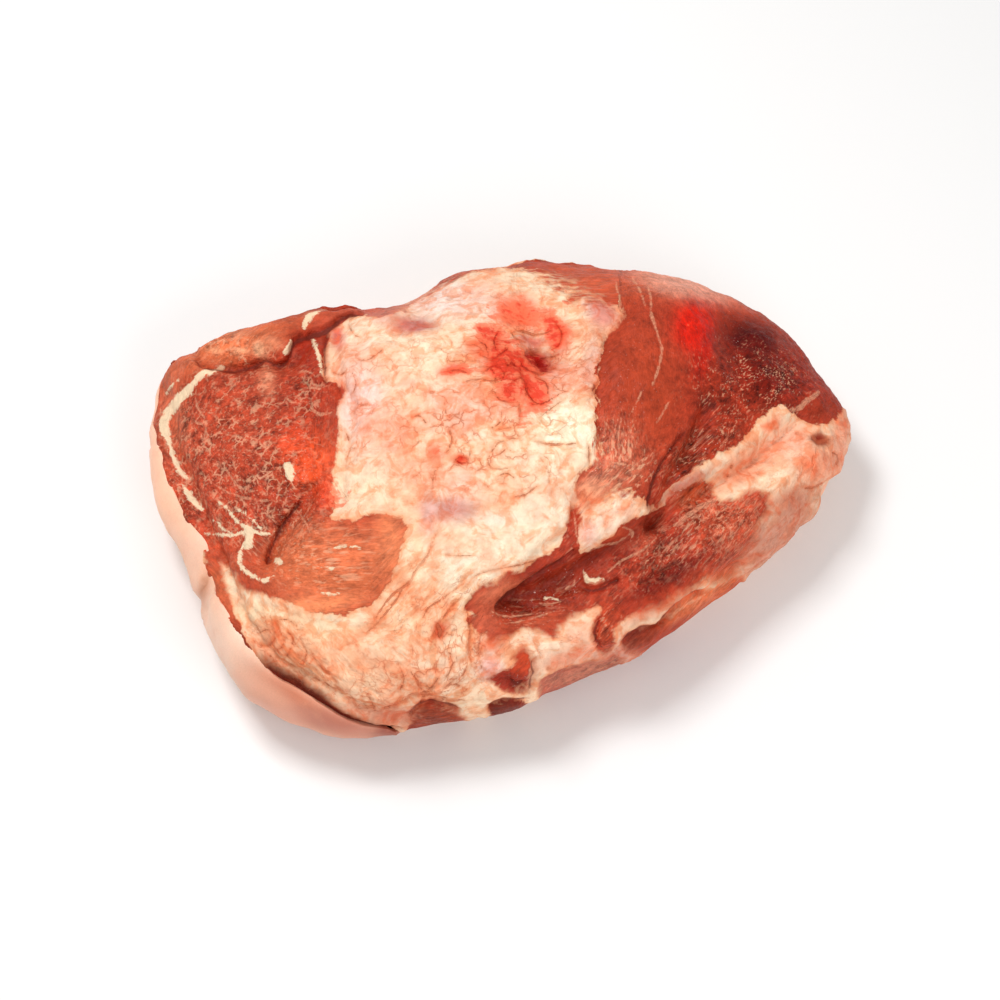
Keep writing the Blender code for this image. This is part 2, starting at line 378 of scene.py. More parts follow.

# %% [markdown]
# Creases and hairlines in the fat are lines of the same kind. They are drawn brown and cut into the
# surface. Where one form lies over another, such as the flap at the collar end, the gap between them is
# painted dark, as painted shade.

# %% Creases in the fat
CREASES = {
    "long_level_cut": [(0.9, [(531, 440), (546, 444), (562, 445), (577, 443)])],
    "pale_level_line": [(0.5, [(440, 555), (456, 556), (474, 555)])],
    "pit_rim": [(1.0, [(456, 460), (460, 457), (467, 458), (468, 462), (461, 463), (456, 460)])],
    "upper_right_of_pit": [(0.8, [(450, 431), (452, 441), (447, 453)])],
    "stepped_crack": [(0.7, [(446, 464), (436, 470), (433, 481), (434, 496)])],
    "curl": [
        (0.8, [(488, 463), (492, 469), (500, 470), (509, 468)]),
        (0.6, [(489, 457), (496, 446), (506, 440), (520, 438)]),
    ],
    "short_slant": [(0.9, [(514, 497), (525, 495), (539, 486)])],
    "blood_crack": [(1.1, [(519, 404), (520, 414), (518, 428)])],
    "socket_upper": [(1.3, [(512, 333), (522, 331), (536, 334), (552, 331)])],
    "socket_corner": [(1.0, [(512, 334), (514, 340), (522, 345)])],
    "socket_hole": [(1.6, [(529, 350), (533, 355), (539, 356)])],
    "socket_right": [(1.3, [(539, 358), (548, 359), (560, 355)])],
    "socket_arc": [
        (0.8, [(555, 322), (562, 334), (560, 346), (548, 352)]), (0.8, [(500, 330), (494, 340), (497, 352)]),
    ],
    "socket_low": [(1.0, [(520, 362), (530, 370), (541, 373), (550, 370)])],
    "socket_knob": [(0.8, [(506, 368), (512, 363), (519, 368), (520, 378)])],
    "socket_fold": [
        (0.9, [(478, 352), (488, 358), (500, 356), (508, 349)]),
        (0.9, [(484, 372), (496, 366), (504, 374), (500, 384)]),
        (0.8, [(512, 384), (520, 380), (528, 386), (526, 396)]), (0.8, [(536, 378), (546, 384), (548, 394)]),
    ],
    "socket_tail": [(0.9, [(524, 382), (528, 392), (534, 400), (542, 404)])],
    "below_socket": [
        (0.8, [(464, 381), (478, 379), (492, 381), (504, 377)]), (0.8, [(446, 372), (458, 371), (470, 374)]),
    ],
    "left_of_socket": [
        (0.7, [(478, 340), (486, 346), (488, 356)]), (0.7, [(486, 366), (494, 372), (496, 384)]),
    ],
    "cap": [
        (0.7, [(494, 391), (500, 400), (512, 402)]), (0.7, [(470, 392), (474, 402), (486, 404)]),
        (0.7, [(445, 402), (446, 412), (450, 420)]), (0.6, [(502, 412), (500, 422), (492, 428)]),
        (0.7, [(495, 430), (504, 428), (513, 428)]), (0.6, [(532, 404), (546, 402), (560, 394), (570, 390)]),
        (0.6, [(540, 418), (552, 408), (566, 398)]), (0.6, [(412, 417), (420, 416), (426, 422)]),
        (0.6, [(434, 424), (443, 425)]), (0.6, [(462, 436), (470, 446), (470, 456)]),
    ],
    "cap_low": [
        (0.7, [(499, 455), (506, 450), (514, 452)]), (0.6, [(498, 475), (507, 474), (514, 478)]),
        (0.6, [(470, 478), (482, 482), (492, 490)]), (0.5, [(540, 458), (548, 470), (549, 484)]),
    ],
    "cap_edge": [(0.7, [(588, 446), (588, 456), (590, 467)])],
    "dark_dot": [(1.6, [(430, 393), (434, 392)])],
    "left": [
        (0.6, [(358, 360), (370, 360), (382, 351)]), (0.7, [(333, 372), (339, 375), (345, 373)]),
        (0.6, [(354, 403), (361, 405), (368, 404)]), (0.6, [(350, 328), (354, 334), (360, 337)]),
        (0.5, [(352, 372), (356, 384), (354, 394)]), (0.5, [(344, 430), (350, 444), (347, 458)]),
    ],
    "parting": [
        (1.2, [(436, 534), (429, 553), (418, 568), (409, 583), (395, 592), (383, 606), (374, 622)]),
        (0.9, [(404, 584), (396, 600), (384, 616), (366, 634)]),
    ],
    "slant": [
        (0.8, [(416, 628), (424, 616), (428, 608), (438, 602), (452, 592), (470, 580)]),
        (0.7, [(462, 588), (478, 575), (496, 570), (514, 566), (534, 561)]),
        (0.7, [(430, 640), (440, 622), (450, 608), (462, 598)]),
    ],
    "upright": [
        (0.9, [(468, 612), (470, 630), (469, 645), (472, 668)]), (0.7, [(480, 640), (478, 654), (482, 668)]),
    ],
    "belly_pit": [(2.2, [(437, 624), (440, 631), (440, 637)])],
    "gather_level": [(1.1, [(384, 705), (402, 701), (416, 695), (430, 697), (446, 700), (462, 699)])],
    "gather_up": [(0.9, [(424, 695), (419, 684), (411, 672)])],
    "gather_right": [(0.8, [(424, 695), (432, 686), (440, 674)])],
    "gather_down": [(0.8, [(424, 696), (420, 706)])],
    "gather": [
        (0.8, [(440, 690), (452, 684), (466, 688)]), (0.7, [(400, 690), (404, 678), (398, 664)]),
        (0.7, [(446, 676), (452, 664), (450, 650)]), (0.7, [(460, 678), (466, 668)]),
    ],
    "tip_mark": [(2.2, [(812, 436), (820, 441), (827, 439)])],
    "tip_ring": [(1.1, [(833, 452), (838, 457), (836, 464)])],
    "tip_crease": [(1.4, [(846, 471), (832, 481), (818, 487), (806, 488)])],
    "tip_dot": [(1.8, [(797, 434), (799, 434)])],
    "seam_dot": [(1.7, [(730, 465), (731, 467)]), (1.2, [(727, 475), (728, 476)])],
    "edge_dot": [(1.3, [(546, 667), (548, 668)])],
    "wrinkle": [
        (0.5, [(254, 640), (262, 646), (272, 644), (276, 638)]), (0.4, [(258, 634), (266, 630), (276, 632)]),
        (0.4, [(272, 626), (280, 620), (292, 622), (300, 632)]),
        (0.4, [(284, 630), (292, 636), (292, 648), (286, 656)]), (0.4, [(276, 650), (284, 646), (286, 638)]),
        (0.4, [(300, 640), (306, 654), (302, 666)]), (0.4, [(266, 652), (274, 660), (282, 670)]),
        (0.4, [(310, 650), (318, 664), (330, 674)]), (0.4, [(316, 676), (330, 684), (344, 690)]),
        (0.4, [(346, 694), (354, 700), (358, 708)]), (0.4, [(364, 690), (372, 700), (374, 710)]),
    ],
}

# Gaps that are deep enough to be painted dark, as painted shade
DEEP_GAPS = {
    "under_the_flap": [
        (1.2, [(198, 363), (208, 366), (230, 369), (252, 366), (264, 361), (280, 366), (291, 357)]),
    ],
    "under_the_flap_end": [(2.4, [(291, 357), (295, 343), (310, 335), (330, 328), (342, 318), (360, 312)])],
    "collar_upright": [(1.1, [(328, 330), (325, 345), (325, 362), (326, 381)])],
    "knife_slip": [(1.1, [(301, 503), (294, 511), (284, 524), (277, 537), (271, 552), (268, 562)])],
    "deep_seam": [
        (0, [
            (650, 506, 1.2), (652, 495, 2.0), (656, 478, 1.5), (664, 462, 0.8), (673, 448, 0.3),
            (682, 436, 0.1),
        ]),
    ],
    "under_rind_edge": [
        (2.6, [(270, 668), (282, 680), (300, 689), (318, 702), (340, 716), (365, 726), (398, 729)]),
    ],
    "pocket_mouth": [(2.6, [(498, 607), (506, 599), (516, 592)])],
    "pocket_heart": [(1.2, [(516, 592), (528, 582), (544, 572), (560, 563), (574, 552)])],
    "pocket_right": [(1.6, [(582, 586), (590, 590), (604, 588), (618, 580)])],
    "nub_gap": [(2.0, [(510, 684), (518, 687), (524, 682)])],
    "nub_under": [(1.3, [(532, 660), (534, 674), (530, 690)])],
    "lower_nub_gap": [(1.2, [(488, 708), (500, 702), (514, 701), (526, 700)])],
    "belly_gap": [(1.2, [(410, 712), (424, 704), (440, 704), (458, 710)])],
    "strip_gap": [(1.2, [(598, 620), (594, 634), (598, 648)])],
    "band_gap": [(1.0, [(622, 642), (640, 630), (660, 622), (678, 602), (700, 590)])],
    "breast_dark": [(0.6, [(640, 583), (660, 571), (680, 560)])],
}
print("creases in", len(CREASES), "places and", len(DEEP_GAPS), "deep gaps")

# %% [markdown]
# Colour lies on meat in soft washes: orange where the surface has dried, deep maroon where it is fresh,
# bright where blood has soaked in. Some washes are painted light and shade instead: painted shadow under
# the fat's roll by the rind, painted shade in hollows and along the near edge, painted highlights on lobes.
# A wash is an oval with a middle, two half widths, a turn and a tone, given as red, green and blue from
# 0 to 255 as a colour picker shows them. Lean and fat have their own washes, because one wash of blood
# looks different on each.

# %% Washes of colour on the lean
LEAN_TONE = (176, 66, 45)
LEAN_WASHES = {
    "collar_eye": (235, 440, 85, 90, 0, (182, 74, 50), 1.0),
    "collar_low": (290, 520, 34, 26, 0, (158, 56, 38), 0.8),
    "collar_side": (170, 400, 16, 70, 8, (206, 106, 76), 0.9),
    "collar_corner": (215, 545, 26, 20, 0, (206, 84, 54), 0.8),
    "flap": (232, 342, 62, 18, 22, (214, 112, 74), 1.0),
    "flap_end": (335, 312, 26, 10, 30, (190, 84, 58), 0.9),
    "flap_far": (200, 330, 50, 12, 22, (214, 106, 70), 0.6),
    "under_flap": (306, 352, 12, 18, 0, (168, 48, 30), 0.9),
    "blood_orange": (308, 458, 20, 28, 0, (240, 96, 52), 1.1),
    "blood_low": (326, 492, 9, 24, 0, (222, 72, 42), 0.9),
    "blood_soft": (300, 425, 30, 18, 0, (188, 66, 40), 0.6),
    "under_blade": (335, 568, 70, 44, 0, (218, 118, 78), 1.1),
    "under_blade_end": (392, 540, 18, 40, 8, (232, 138, 94), 0.8),
    "under_blade_low": (310, 606, 50, 10, 8, (238, 144, 98), 0.9),
    "strip_by_rind": (222, 585, 16, 32, -30, (206, 98, 66), 0.9),
    # Painted shadow under the fat's roll, where the strip meets the rind
    "strip_by_rind_in_roll_shadow": (300, 690, 70, 16, -35, (140, 66, 46), 0.9),
    "membrane": (622, 372, 44, 70, 0, (180, 72, 48), 1.0),
    "membrane_top": (600, 275, 70, 26, 0, (206, 96, 66), 0.9),
    "membrane_right": (655, 400, 26, 60, 10, (176, 70, 45), 0.8),
    "fibrous": (614, 455, 30, 30, 0, (196, 96, 70), 0.9),
    "far_orange": (672, 280, 40, 16, -14, (230, 138, 108), 1.0),
    "far_orange_right": (745, 296, 50, 12, -26, (214, 104, 78), 0.8),
    "bright_blood": (694, 326, 21, 25, 0, (222, 42, 28), 1.2),
    "bright_blood_low": (703, 358, 11, 26, -8, (196, 32, 22), 0.8),
    "maroon": (752, 342, 34, 20, -22, (84, 8, 8), 1.15),
    "dark_cut": (764, 378, 52, 30, -20, (128, 36, 28), 1.0),
    "dark_cut_edge": (812, 374, 16, 40, 40, (158, 50, 38), 0.6),
    "shank_middle": (722, 402, 40, 36, 0, (150, 50, 34), 0.9),
    "shank_low": (700, 452, 36, 18, 30, (146, 52, 34), 0.85),
    "crescent": (822, 410, 20, 10, 0, (158, 58, 40), 1.0),
    "orange_spot": (771, 422, 10, 6, 40, (230, 110, 72), 1.0),
    "pocket": (530, 596, 60, 26, 28, (142, 46, 32), 1.1),
    "pocket_lip": (498, 590, 24, 8, 22, (218, 120, 88), 1.0),
    "pocket_lip_low": (484, 626, 20, 14, 0, (196, 96, 70), 0.9),
    "pocket_low": (536, 622, 40, 9, 12, (172, 78, 54), 0.8),
    "spike": (570, 535, 12, 26, 0, (176, 66, 46), 0.8),
    "breast": (655, 545, 60, 26, 34, (150, 52, 36), 0.9),
    "breast_right": (730, 520, 36, 36, 0, (180, 78, 54), 0.9),
    "orange_lean": (694, 494, 20, 9, 30, (198, 84, 50), 1.0),
    "dark_strip": (668, 577, 52, 11, 30, (124, 34, 20), 1.1),
    "dark_strip_low": (606, 630, 14, 26, 0, (180, 72, 46), 0.9),
    "edge_band": (700, 596, 50, 12, 33, (226, 118, 76), 1.1),
    # Painted shade in the hollow below the edge band
    "shade_in_edge_hollow": (640, 636, 26, 9, 24, (152, 60, 40), 1.0),
    "near_edge": (580, 672, 56, 12, 20, (188, 116, 96), 1.0),
    "nub": (521, 658, 10, 16, 0, (192, 72, 44), 0.9),
    "nub_dark": (505, 680, 20, 9, 0, (148, 46, 34), 1.0),
    "lower_nub": (506, 712, 24, 12, 0, (122, 52, 40), 1.1),
    # Greyish-brown lean at the near edge, with painted shade on it
    "belly_edge": (436, 718, 34, 14, 0, (150, 66, 44), 1.1),
    "far_rim": (400, 312, 60, 22, 20, (208, 122, 102), 1.0),
    "far_rim_dark": (408, 324, 20, 10, 10, (184, 96, 84), 0.8),
    "far_rim_top": (470, 264, 36, 10, 20, (196, 100, 76), 0.8),
    "strip_upper": (224, 592, 34, 12, -68, (200, 102, 68), 0.9),
    # Painted shadow under the fat's roll, at the upper end of the strip
    "strip_in_roll_shadow": (258, 656, 34, 12, -50, (132, 58, 40), 0.9),
    "under_blade_middle": (335, 562, 54, 38, 0, (205, 108, 72), 0.45),
    "flap_middle": (230, 350, 52, 16, 20, (206, 112, 74), 0.55),
    "collar_blood": (302, 456, 24, 28, 0, (216, 70, 36), 0.6),
    "tongue_orange": (592, 490, 18, 12, 30, (250, 176, 138), 0.95),
    "tongue_lean": (616, 476, 30, 16, 20, (202, 114, 86), 0.6),
    "membrane_left": (616, 372, 24, 40, 0, (168, 64, 42), 0.35),
    "dark_cut_middle": (765, 366, 26, 16, -20, (112, 32, 24), 0.6),
    "pocket_middle": (548, 592, 40, 12, 27, (150, 56, 40), 0.5),
    "nub_dark_middle": (508, 684, 14, 8, 0, (168, 62, 44), 0.5),
    "pocket_left": (486, 606, 18, 12, 30, (206, 104, 74), 0.6),
    "collar_pale": (267, 379, 9, 17, 0, (216, 134, 102), 0.7),
    "far_orange_light": (690, 284, 50, 14, -14, (248, 182, 160), 0.7),
    # Painted highlights on the lobes by the pocket, and painted shade in the hollows between them
    "highlight_on_lobe": (612, 533, 12, 7, 30, (206, 88, 58), 0.8),
    "shade_below_lobe": (598, 556, 22, 8, 25, (118, 36, 26), 0.7),
    "lobe_light_second": (640, 546, 15, 8, 30, (188, 86, 62), 0.7),
    "shade_right_of_pocket": (624, 556, 20, 8, 30, (134, 44, 32), 0.7),
    "collar_blood_edge": (330, 466, 8, 30, 0, (232, 96, 58), 0.5),
    "flap_light": (260, 350, 9, 6, -40, (246, 186, 146), 0.8),
    "flap_light_low": (241, 352, 8, 3, 0, (244, 178, 138), 0.7),
    "flap_light_left": (215, 351, 8, 3, 0, (240, 170, 130), 0.7),
    "flap_light_upper": (240, 334, 12, 3, 12, (236, 160, 122), 0.4),
    "flap_light_end": (272, 344, 12, 7, 10, (236, 158, 118), 0.5),
    "flap_streak_light": (318, 306, 16, 4, 46, (244, 190, 156), 0.6),
    "collar_right_deep": (308, 396, 24, 26, 0, (166, 54, 32), 0.6),
    "collar_eye_low": (236, 470, 46, 40, 0, (168, 64, 44), 0.35),
    "flap_brown": (296, 322, 26, 10, 28, (196, 96, 66), 0.5),
}
print(len(LEAN_WASHES), "washes on the lean")

# %% [markdown]
# The fat has more tones than the lean: cream where it is thick, salmon where it is thin and lets blood
# show, purple where a skin of membrane lies on it. The last washes are the small mottles of the cap.

# %% Washes of colour on the fat
FAT_TONE = (251, 213, 178)
FAT_WASHES = {
    "left_pink": (362, 396, 26, 54, 0, (250, 210, 198), 0.95),
    "left_salmon": (388, 435, 30, 38, 0, (249, 180, 148), 0.8),
    "left_red": (337, 338, 9, 12, 20, (228, 110, 96), 0.95),
    "upper_left": (400, 358, 40, 24, 0, (252, 222, 192), 0.8),
    "silver_top": (452, 302, 40, 20, 0, (252, 214, 196), 0.8),
    "top_orange": (490, 290, 24, 14, 0, (248, 176, 138), 0.6),
    "blood_top": (518, 314, 26, 17, -8, (247, 108, 72), 1.15),
    "blood_right": (560, 338, 11, 15, 0, (240, 78, 54), 1.0),
    "blood_left": (484, 346, 20, 12, 10, (244, 120, 84), 0.9),
    "blood_middle": (508, 366, 26, 13, -10, (232, 62, 40), 1.15),
    "blood_deep": (534, 362, 18, 11, -20, (178, 24, 16), 1.15),
    "blood_inside": (530, 342, 20, 7, 0, (214, 112, 96), 0.9),
    "blood_low": (537, 396, 15, 16, 10, (232, 78, 60), 0.9),
    "blood_low_left": (507, 394, 11, 9, 0, (240, 96, 72), 0.8),
    "blood_far_left": (452, 371, 15, 5, 4, (238, 84, 60), 1.0),
    "pink_round_socket": (560, 378, 30, 22, 0, (244, 162, 136), 0.8),
    "pink_left_socket": (460, 400, 36, 24, 0, (250, 192, 168), 0.8),
    "pit": (461, 460, 8, 5, 0, (240, 120, 84), 1.2),
    "pit_near": (438, 452, 12, 10, 0, (248, 170, 142), 0.8),
    "right_cream": (564, 428, 34, 24, 0, (250, 242, 212), 1.0),
    "right_cream_low": (548, 500, 30, 40, 0, (250, 224, 196), 0.9),
    "middle_cream": (470, 560, 60, 34, 10, (249, 220, 190), 1.0),
    "middle_pink": (440, 478, 26, 24, 0, (248, 196, 168), 0.7),
    "silverskin": (452, 508, 28, 14, 6, (214, 146, 134), 0.85),
    "silverskin_left": (428, 516, 9, 22, 0, (232, 184, 174), 0.7),
    "lower_middle": (420, 625, 44, 36, 0, (251, 210, 172), 0.8),
    "wrinkled": (300, 650, 52, 30, -35, (234, 156, 112), 1.0),
    "wrinkled_right": (372, 682, 50, 34, -10, (247, 182, 146), 1.0),
    "blade_surround": (290, 622, 60, 12, -14, (250, 204, 160), 0.8),
    "blade_surround_right": (412, 560, 14, 40, 8, (251, 222, 184), 0.6),
    "belly_right": (450, 668, 30, 28, 0, (249, 198, 166), 0.7),
    "orange_by_round": (590, 490, 20, 13, 30, (248, 172, 132), 1.0),
    "tongue": (614, 514, 26, 11, 34, (250, 208, 178), 0.9),
    "tongue_tip": (588, 532, 10, 14, 0, (240, 176, 160), 0.8),
    "tip_pale": (788, 442, 26, 18, 20, (251, 188, 158), 1.0),
    "tip_pink": (818, 466, 26, 22, 0, (246, 156, 120), 1.0),
    "tip_rim": (842, 440, 12, 40, 0, (238, 148, 116), 0.8),
    "tip_low": (790, 502, 28, 18, 30, (208, 126, 96), 1.0),
    "low_right": (744, 468, 34, 14, 24, (238, 156, 120), 1.0),
    # Painted shade along the near lower edge
    "low_right_edge_shade": (772, 540, 60, 22, 38, (214, 142, 116), 1.1),
    "pale_strip": (650, 610, 40, 9, 30, (222, 146, 116), 0.9),
    "bulge": (540, 645, 22, 14, -10, (251, 208, 178), 0.9),
    "bulge_right": (580, 634, 22, 14, 16, (246, 182, 150), 0.9),
    "near_low": (575, 654, 50, 10, 16, (244, 170, 140), 0.9),
    "near_edge_low": (620, 655, 60, 12, 24, (222, 150, 128), 1.0),
    "pink_by_nub": (490, 668, 14, 14, 0, (240, 176, 168), 0.8),
    "silver_right": (602, 312, 20, 14, -40, (224, 156, 142), 1.1),
    "silver_right_low": (592, 362, 10, 34, -8, (232, 170, 150), 0.8),
    "orange_spot_on_fat": (771, 423, 11, 6, 40, (234, 122, 82), 1.1),
    "grey_band": (682, 487, 36, 7, 33, (196, 126, 106), 1.0),
    "cap_salmon": (460, 424, 24, 15, 0, (242, 164, 136), 0.75),
    "cap_salmon_second": (430, 418, 16, 14, 0, (248, 190, 160), 0.7),
    "cap_salmon_third": (505, 408, 22, 14, 0, (248, 184, 156), 0.8),
    "cap_cream": (490, 440, 18, 14, 0, (251, 230, 198), 0.7),
    "cap_pink_low": (462, 486, 24, 14, 0, (249, 200, 174), 0.8),
    "cream_under_round": (300, 622, 50, 9, -14, (251, 218, 178), 0.9),
    "orange_parting": (404, 585, 8, 40, 40, (240, 168, 124), 0.8),
    "orange_parting_low": (360, 630, 36, 9, 26, (244, 178, 136), 0.8),
    "pit_by_slant": (440, 630, 8, 9, 0, (216, 104, 70), 0.9),
    "far_left": (385, 318, 16, 8, 20, (240, 180, 160), 0.8),
    "purple_patch": (414, 326, 24, 9, 0, (206, 124, 112), 1.1),
    "purple_streaks": (440, 300, 34, 12, 12, (240, 178, 160), 0.7),
    "pocket_side": (490, 645, 18, 12, 0, (228, 166, 144), 0.8),
    "belly_shadow": (400, 715, 70, 12, -6, (214, 132, 104), 0.9),
    "silver_top_middle": (452, 302, 42, 18, 0, (253, 226, 210), 0.7),
    "right_pink": (536, 490, 34, 26, 0, (247, 202, 168), 0.6),
    "silverskin_middle": (452, 512, 26, 12, -4, (212, 144, 132), 0.5),
    "tip_mark": (820, 439, 11, 5, -10, (150, 58, 40), 0.95),
    "wrinkled_left": (285, 645, 34, 26, -35, (244, 178, 140), 0.6),
    "gathers": (356, 672, 50, 28, -18, (251, 206, 168), 0.7),
    "tongue_start": (590, 500, 16, 12, 30, (244, 162, 122), 0.8),
    "tongue_light": (612, 520, 24, 13, 34, (252, 214, 188), 0.7),
    "left_salmon_middle": (390, 428, 20, 26, 0, (244, 172, 142), 0.45),
    "socket_blood": (535, 362, 18, 9, -15, (190, 26, 18), 0.9),
    "low_right_warm": (744, 470, 36, 14, 26, (246, 180, 144), 0.7),
    "roll_shadow": (303, 690, 58, 10, -36, (112, 50, 34), 1.1),
    "roll_shadow_end": (352, 720, 28, 6, -14, (150, 84, 60), 0.9),
    "mottle_first": (408, 386, 12, 8, 20, (246, 178, 150), 0.6),
    "mottle_second": (436, 396, 14, 8, -10, (248, 190, 166), 0.6),
    "mottle_third": (486, 414, 14, 9, 10, (246, 180, 152), 0.55),
    "mottle_fourth": (478, 440, 10, 8, 0, (251, 214, 186), 0.6),
    "mottle_fifth": (500, 452, 12, 7, 20, (248, 196, 166), 0.55),
    "mottle_sixth": (470, 470, 14, 8, 0, (246, 186, 158), 0.55),
    "mottle_seventh": (406, 470, 12, 14, 10, (245, 180, 152), 0.5),
    "mottle_eighth": (524, 460, 12, 10, 40, (249, 206, 176), 0.5),
    "mottle_ninth": (540, 514, 14, 8, 10, (246, 192, 160), 0.5),
    "mottle_tenth": (500, 520, 20, 8, 0, (251, 226, 204), 0.6),
    "mottle_last": (456, 590, 20, 10, 40, (250, 204, 168), 0.5),
}
print(len(FAT_WASHES), "washes on the fat")

# %% [markdown]
# Some effects have a place but no edge. Each is a set of soft ovals in the picture, with a middle, two
# half widths, a turn and a strength, and where ovals overlap their strengths add up. In the lean these
# are the fine marbling of the collar's eye, streaks along the fibres and short pale flecks.

# %% Where the lean is marbled, streaked and flecked
MARBLED = [
    (235, 450, 80, 90, 0, 1.0), (285, 510, 40, 30, 0, 0.7), (228, 345, 60, 14, -22, 0.8),
    (720, 520, 44, 40, 30, 0.6), (650, 560, 50, 24, 34, 0.35), (614, 450, 30, 34, 0, 0.4),
    (310, 390, 20, 30, 0, 0.5), (175, 500, 16, 40, 30, 0.6),
]
STREAKED = [
    (614, 462, 34, 32, 0, 1.0), (700, 530, 60, 34, 34, 0.8), (330, 562, 60, 38, 0, 0.85),
    (245, 530, 40, 26, -30, 0.7), (560, 290, 40, 20, -10, 0.8), (700, 455, 40, 20, 34, 0.4),
    (540, 600, 50, 20, 20, 0.4), (640, 470, 20, 30, 40, 0.7), (700, 600, 50, 16, 34, 0.5),
    (445, 285, 60, 18, 16, 0.8), (230, 345, 60, 14, 20, 0.5), (600, 665, 50, 12, 16, 0.5),
]
FLECKED = [
    (764, 380, 56, 34, -20, 1.0), (715, 400, 36, 44, 0, 0.6), (700, 455, 44, 22, 30, 1.0),
    (614, 450, 34, 38, 0, 1.0), (720, 520, 48, 44, 30, 1.0), (650, 560, 54, 26, 34, 0.9),
    (604, 630, 18, 28, 0, 0.8), (330, 560, 56, 40, 0, 0.3), (540, 610, 50, 16, 20, 0.7),
    (450, 280, 60, 18, 20, 1.0), (235, 480, 90, 60, -20, 0.5), (560, 535, 20, 30, 0, 0.5),
    (600, 670, 60, 14, 16, 0.6), (440, 716, 40, 14, 0, 0.5),
]

# %% [markdown]
# In the fat they are crackle, which is a net of hairlines on the cap, and wrinkles, which are gathers in
# the fat and deepest at the near left corner.

# %% Where the fat is crackled and wrinkled
CRACKLED = [
    (440, 440, 60, 60, 0, 0.9), (510, 400, 60, 50, 0, 1.0), (520, 460, 50, 40, 0, 0.7),
    (400, 350, 60, 30, 0, 0.5), (460, 650, 50, 50, 0, 0.9), (570, 370, 36, 40, 0, 0.8),
    (380, 680, 60, 40, 0, 0.7), (360, 420, 30, 60, 0, 0.6), (470, 560, 60, 30, 0, 0.25),
    (465, 345, 26, 26, 0, 0.8),
]
WRINKLED = [
    (280, 645, 40, 30, -35, 1.0), (350, 690, 50, 26, -16, 0.9), (430, 690, 50, 26, 0, 1.0),
    (800, 470, 44, 30, 0, 0.5), (760, 545, 60, 20, 38, 0.6), (600, 660, 60, 14, 20, 0.8),
    (400, 600, 40, 50, 30, 0.7), (470, 600, 40, 40, 0, 0.8), (540, 640, 60, 20, 0, 0.7),
    (460, 650, 30, 40, 0, 0.9), (570, 300, 40, 30, 0, 0.6), (510, 360, 50, 50, 0, 0.9),
    (440, 300, 50, 20, 0, 0.5), (590, 370, 20, 50, 0, 0.7), (610, 500, 50, 24, 34, 0.5),
]

# %% [markdown]
# Fresh cuts are wet and shine. Blood has soaked into the fat round the socket, and it is darkest in the
# hole.

# %% Where it is wet and bloody
WET = [
    (296, 505, 34, 26, -40, 1.0), (250, 445, 60, 50, 0, 0.35), (545, 592, 60, 30, 28, 1.0),
    (612, 462, 32, 26, 0, 0.8), (690, 460, 40, 30, 40, 1.0), (750, 370, 60, 40, -20, 0.8),
    (620, 375, 50, 80, 0, 0.35), (338, 494, 8, 8, 0, 1.0), (530, 350, 30, 20, 0, 0.7),
    (690, 545, 60, 30, 34, 0.6), (512, 682, 22, 16, 0, 0.8), (300, 460, 24, 40, 0, 0.6),
]
BLOODY = [
    (519, 313, 30, 15, -6, 0.85), (500, 345, 26, 16, -30, 0.8), (512, 370, 32, 18, -14, 1.0),
    (556, 336, 14, 22, 10, 0.95), (537, 398, 20, 17, -30, 0.95), (506, 394, 12, 10, 0, 0.8),
    (456, 371, 18, 6, 4, 0.85), (484, 332, 14, 10, 0, 0.6), (337, 338, 6, 10, 20, 0.6),
    (462, 460, 8, 5, 0, 0.9), (438, 452, 6, 6, 0, 0.6), (332, 494, 10, 24, 0, 0.6),
    (575, 305, 16, 10, 0, 0.3), (520, 418, 12, 14, 0, 0.4), (350, 498, 14, 10, -30, 0.45),
]
DEEP_BLOOD = [
    (537, 364, 14, 4, -15, 0.8), (534, 355, 6, 3, 0, 0.8), (546, 372, 12, 4, -20, 0.5),
]

# %% [markdown]
# Lean and fat meet in a clean line where the knife went along it. Elsewhere they fade into each other,
# or their fibres comb into each other.

# %% Where lean and fat meet softly
SOFT_EDGED = [
    (606, 490, 44, 20, 30, 1.8), (614, 460, 34, 20, 0, 1.0), (575, 288, 50, 20, -25, 0.8),
    (505, 638, 36, 12, 0, 0.8), (770, 520, 30, 50, 30, 1.2), (742, 480, 40, 16, 26, 1.0),
    (235, 560, 40, 20, -40, 0.6), (440, 300, 50, 24, 20, 1.0), (600, 320, 24, 24, 0, 0.6),
    (575, 285, 40, 20, -20, 0.8), (560, 625, 40, 12, 20, 0.7), (660, 605, 50, 16, 30, 0.7),
    (740, 560, 40, 30, 30, 0.8), (345, 440, 8, 60, 0, 0.5), (600, 670, 60, 16, 16, 0.9),
    (516, 670, 30, 26, 0, 0.8), (440, 708, 44, 16, 0, 1.0), (250, 600, 50, 14, -30, 0.6),
    (690, 600, 60, 16, 34, 0.7), (500, 590, 30, 16, 24, 0.5),
]
COMBED = [
    (575, 288, 60, 26, -25, 1.6), (590, 365, 16, 50, 0, 1.0), (420, 305, 60, 24, 0, 0.9),
    (610, 492, 46, 24, 32, 1.5), (350, 600, 60, 20, -10, 0.5), (400, 540, 14, 40, 0, 0.5),
    (600, 465, 30, 40, 0, 0.9), (515, 675, 24, 20, 0, 0.8), (600, 440, 14, 60, 0, 0.5),
    (755, 505, 34, 30, 30, 0.5), (490, 620, 30, 20, 0, 0.5), (690, 600, 60, 20, 34, 0.5),
    (740, 475, 40, 16, 26, 0.5),
]

# %% [markdown]
# Some forms are too small for the plain solid and too single for noise: the hollow at the collar's
# corner, the lips of the socket, the nubs at the near edge. Each is a soft oval with a height in
# millimetres instead of a strength, and a height below 0 is a hollow.

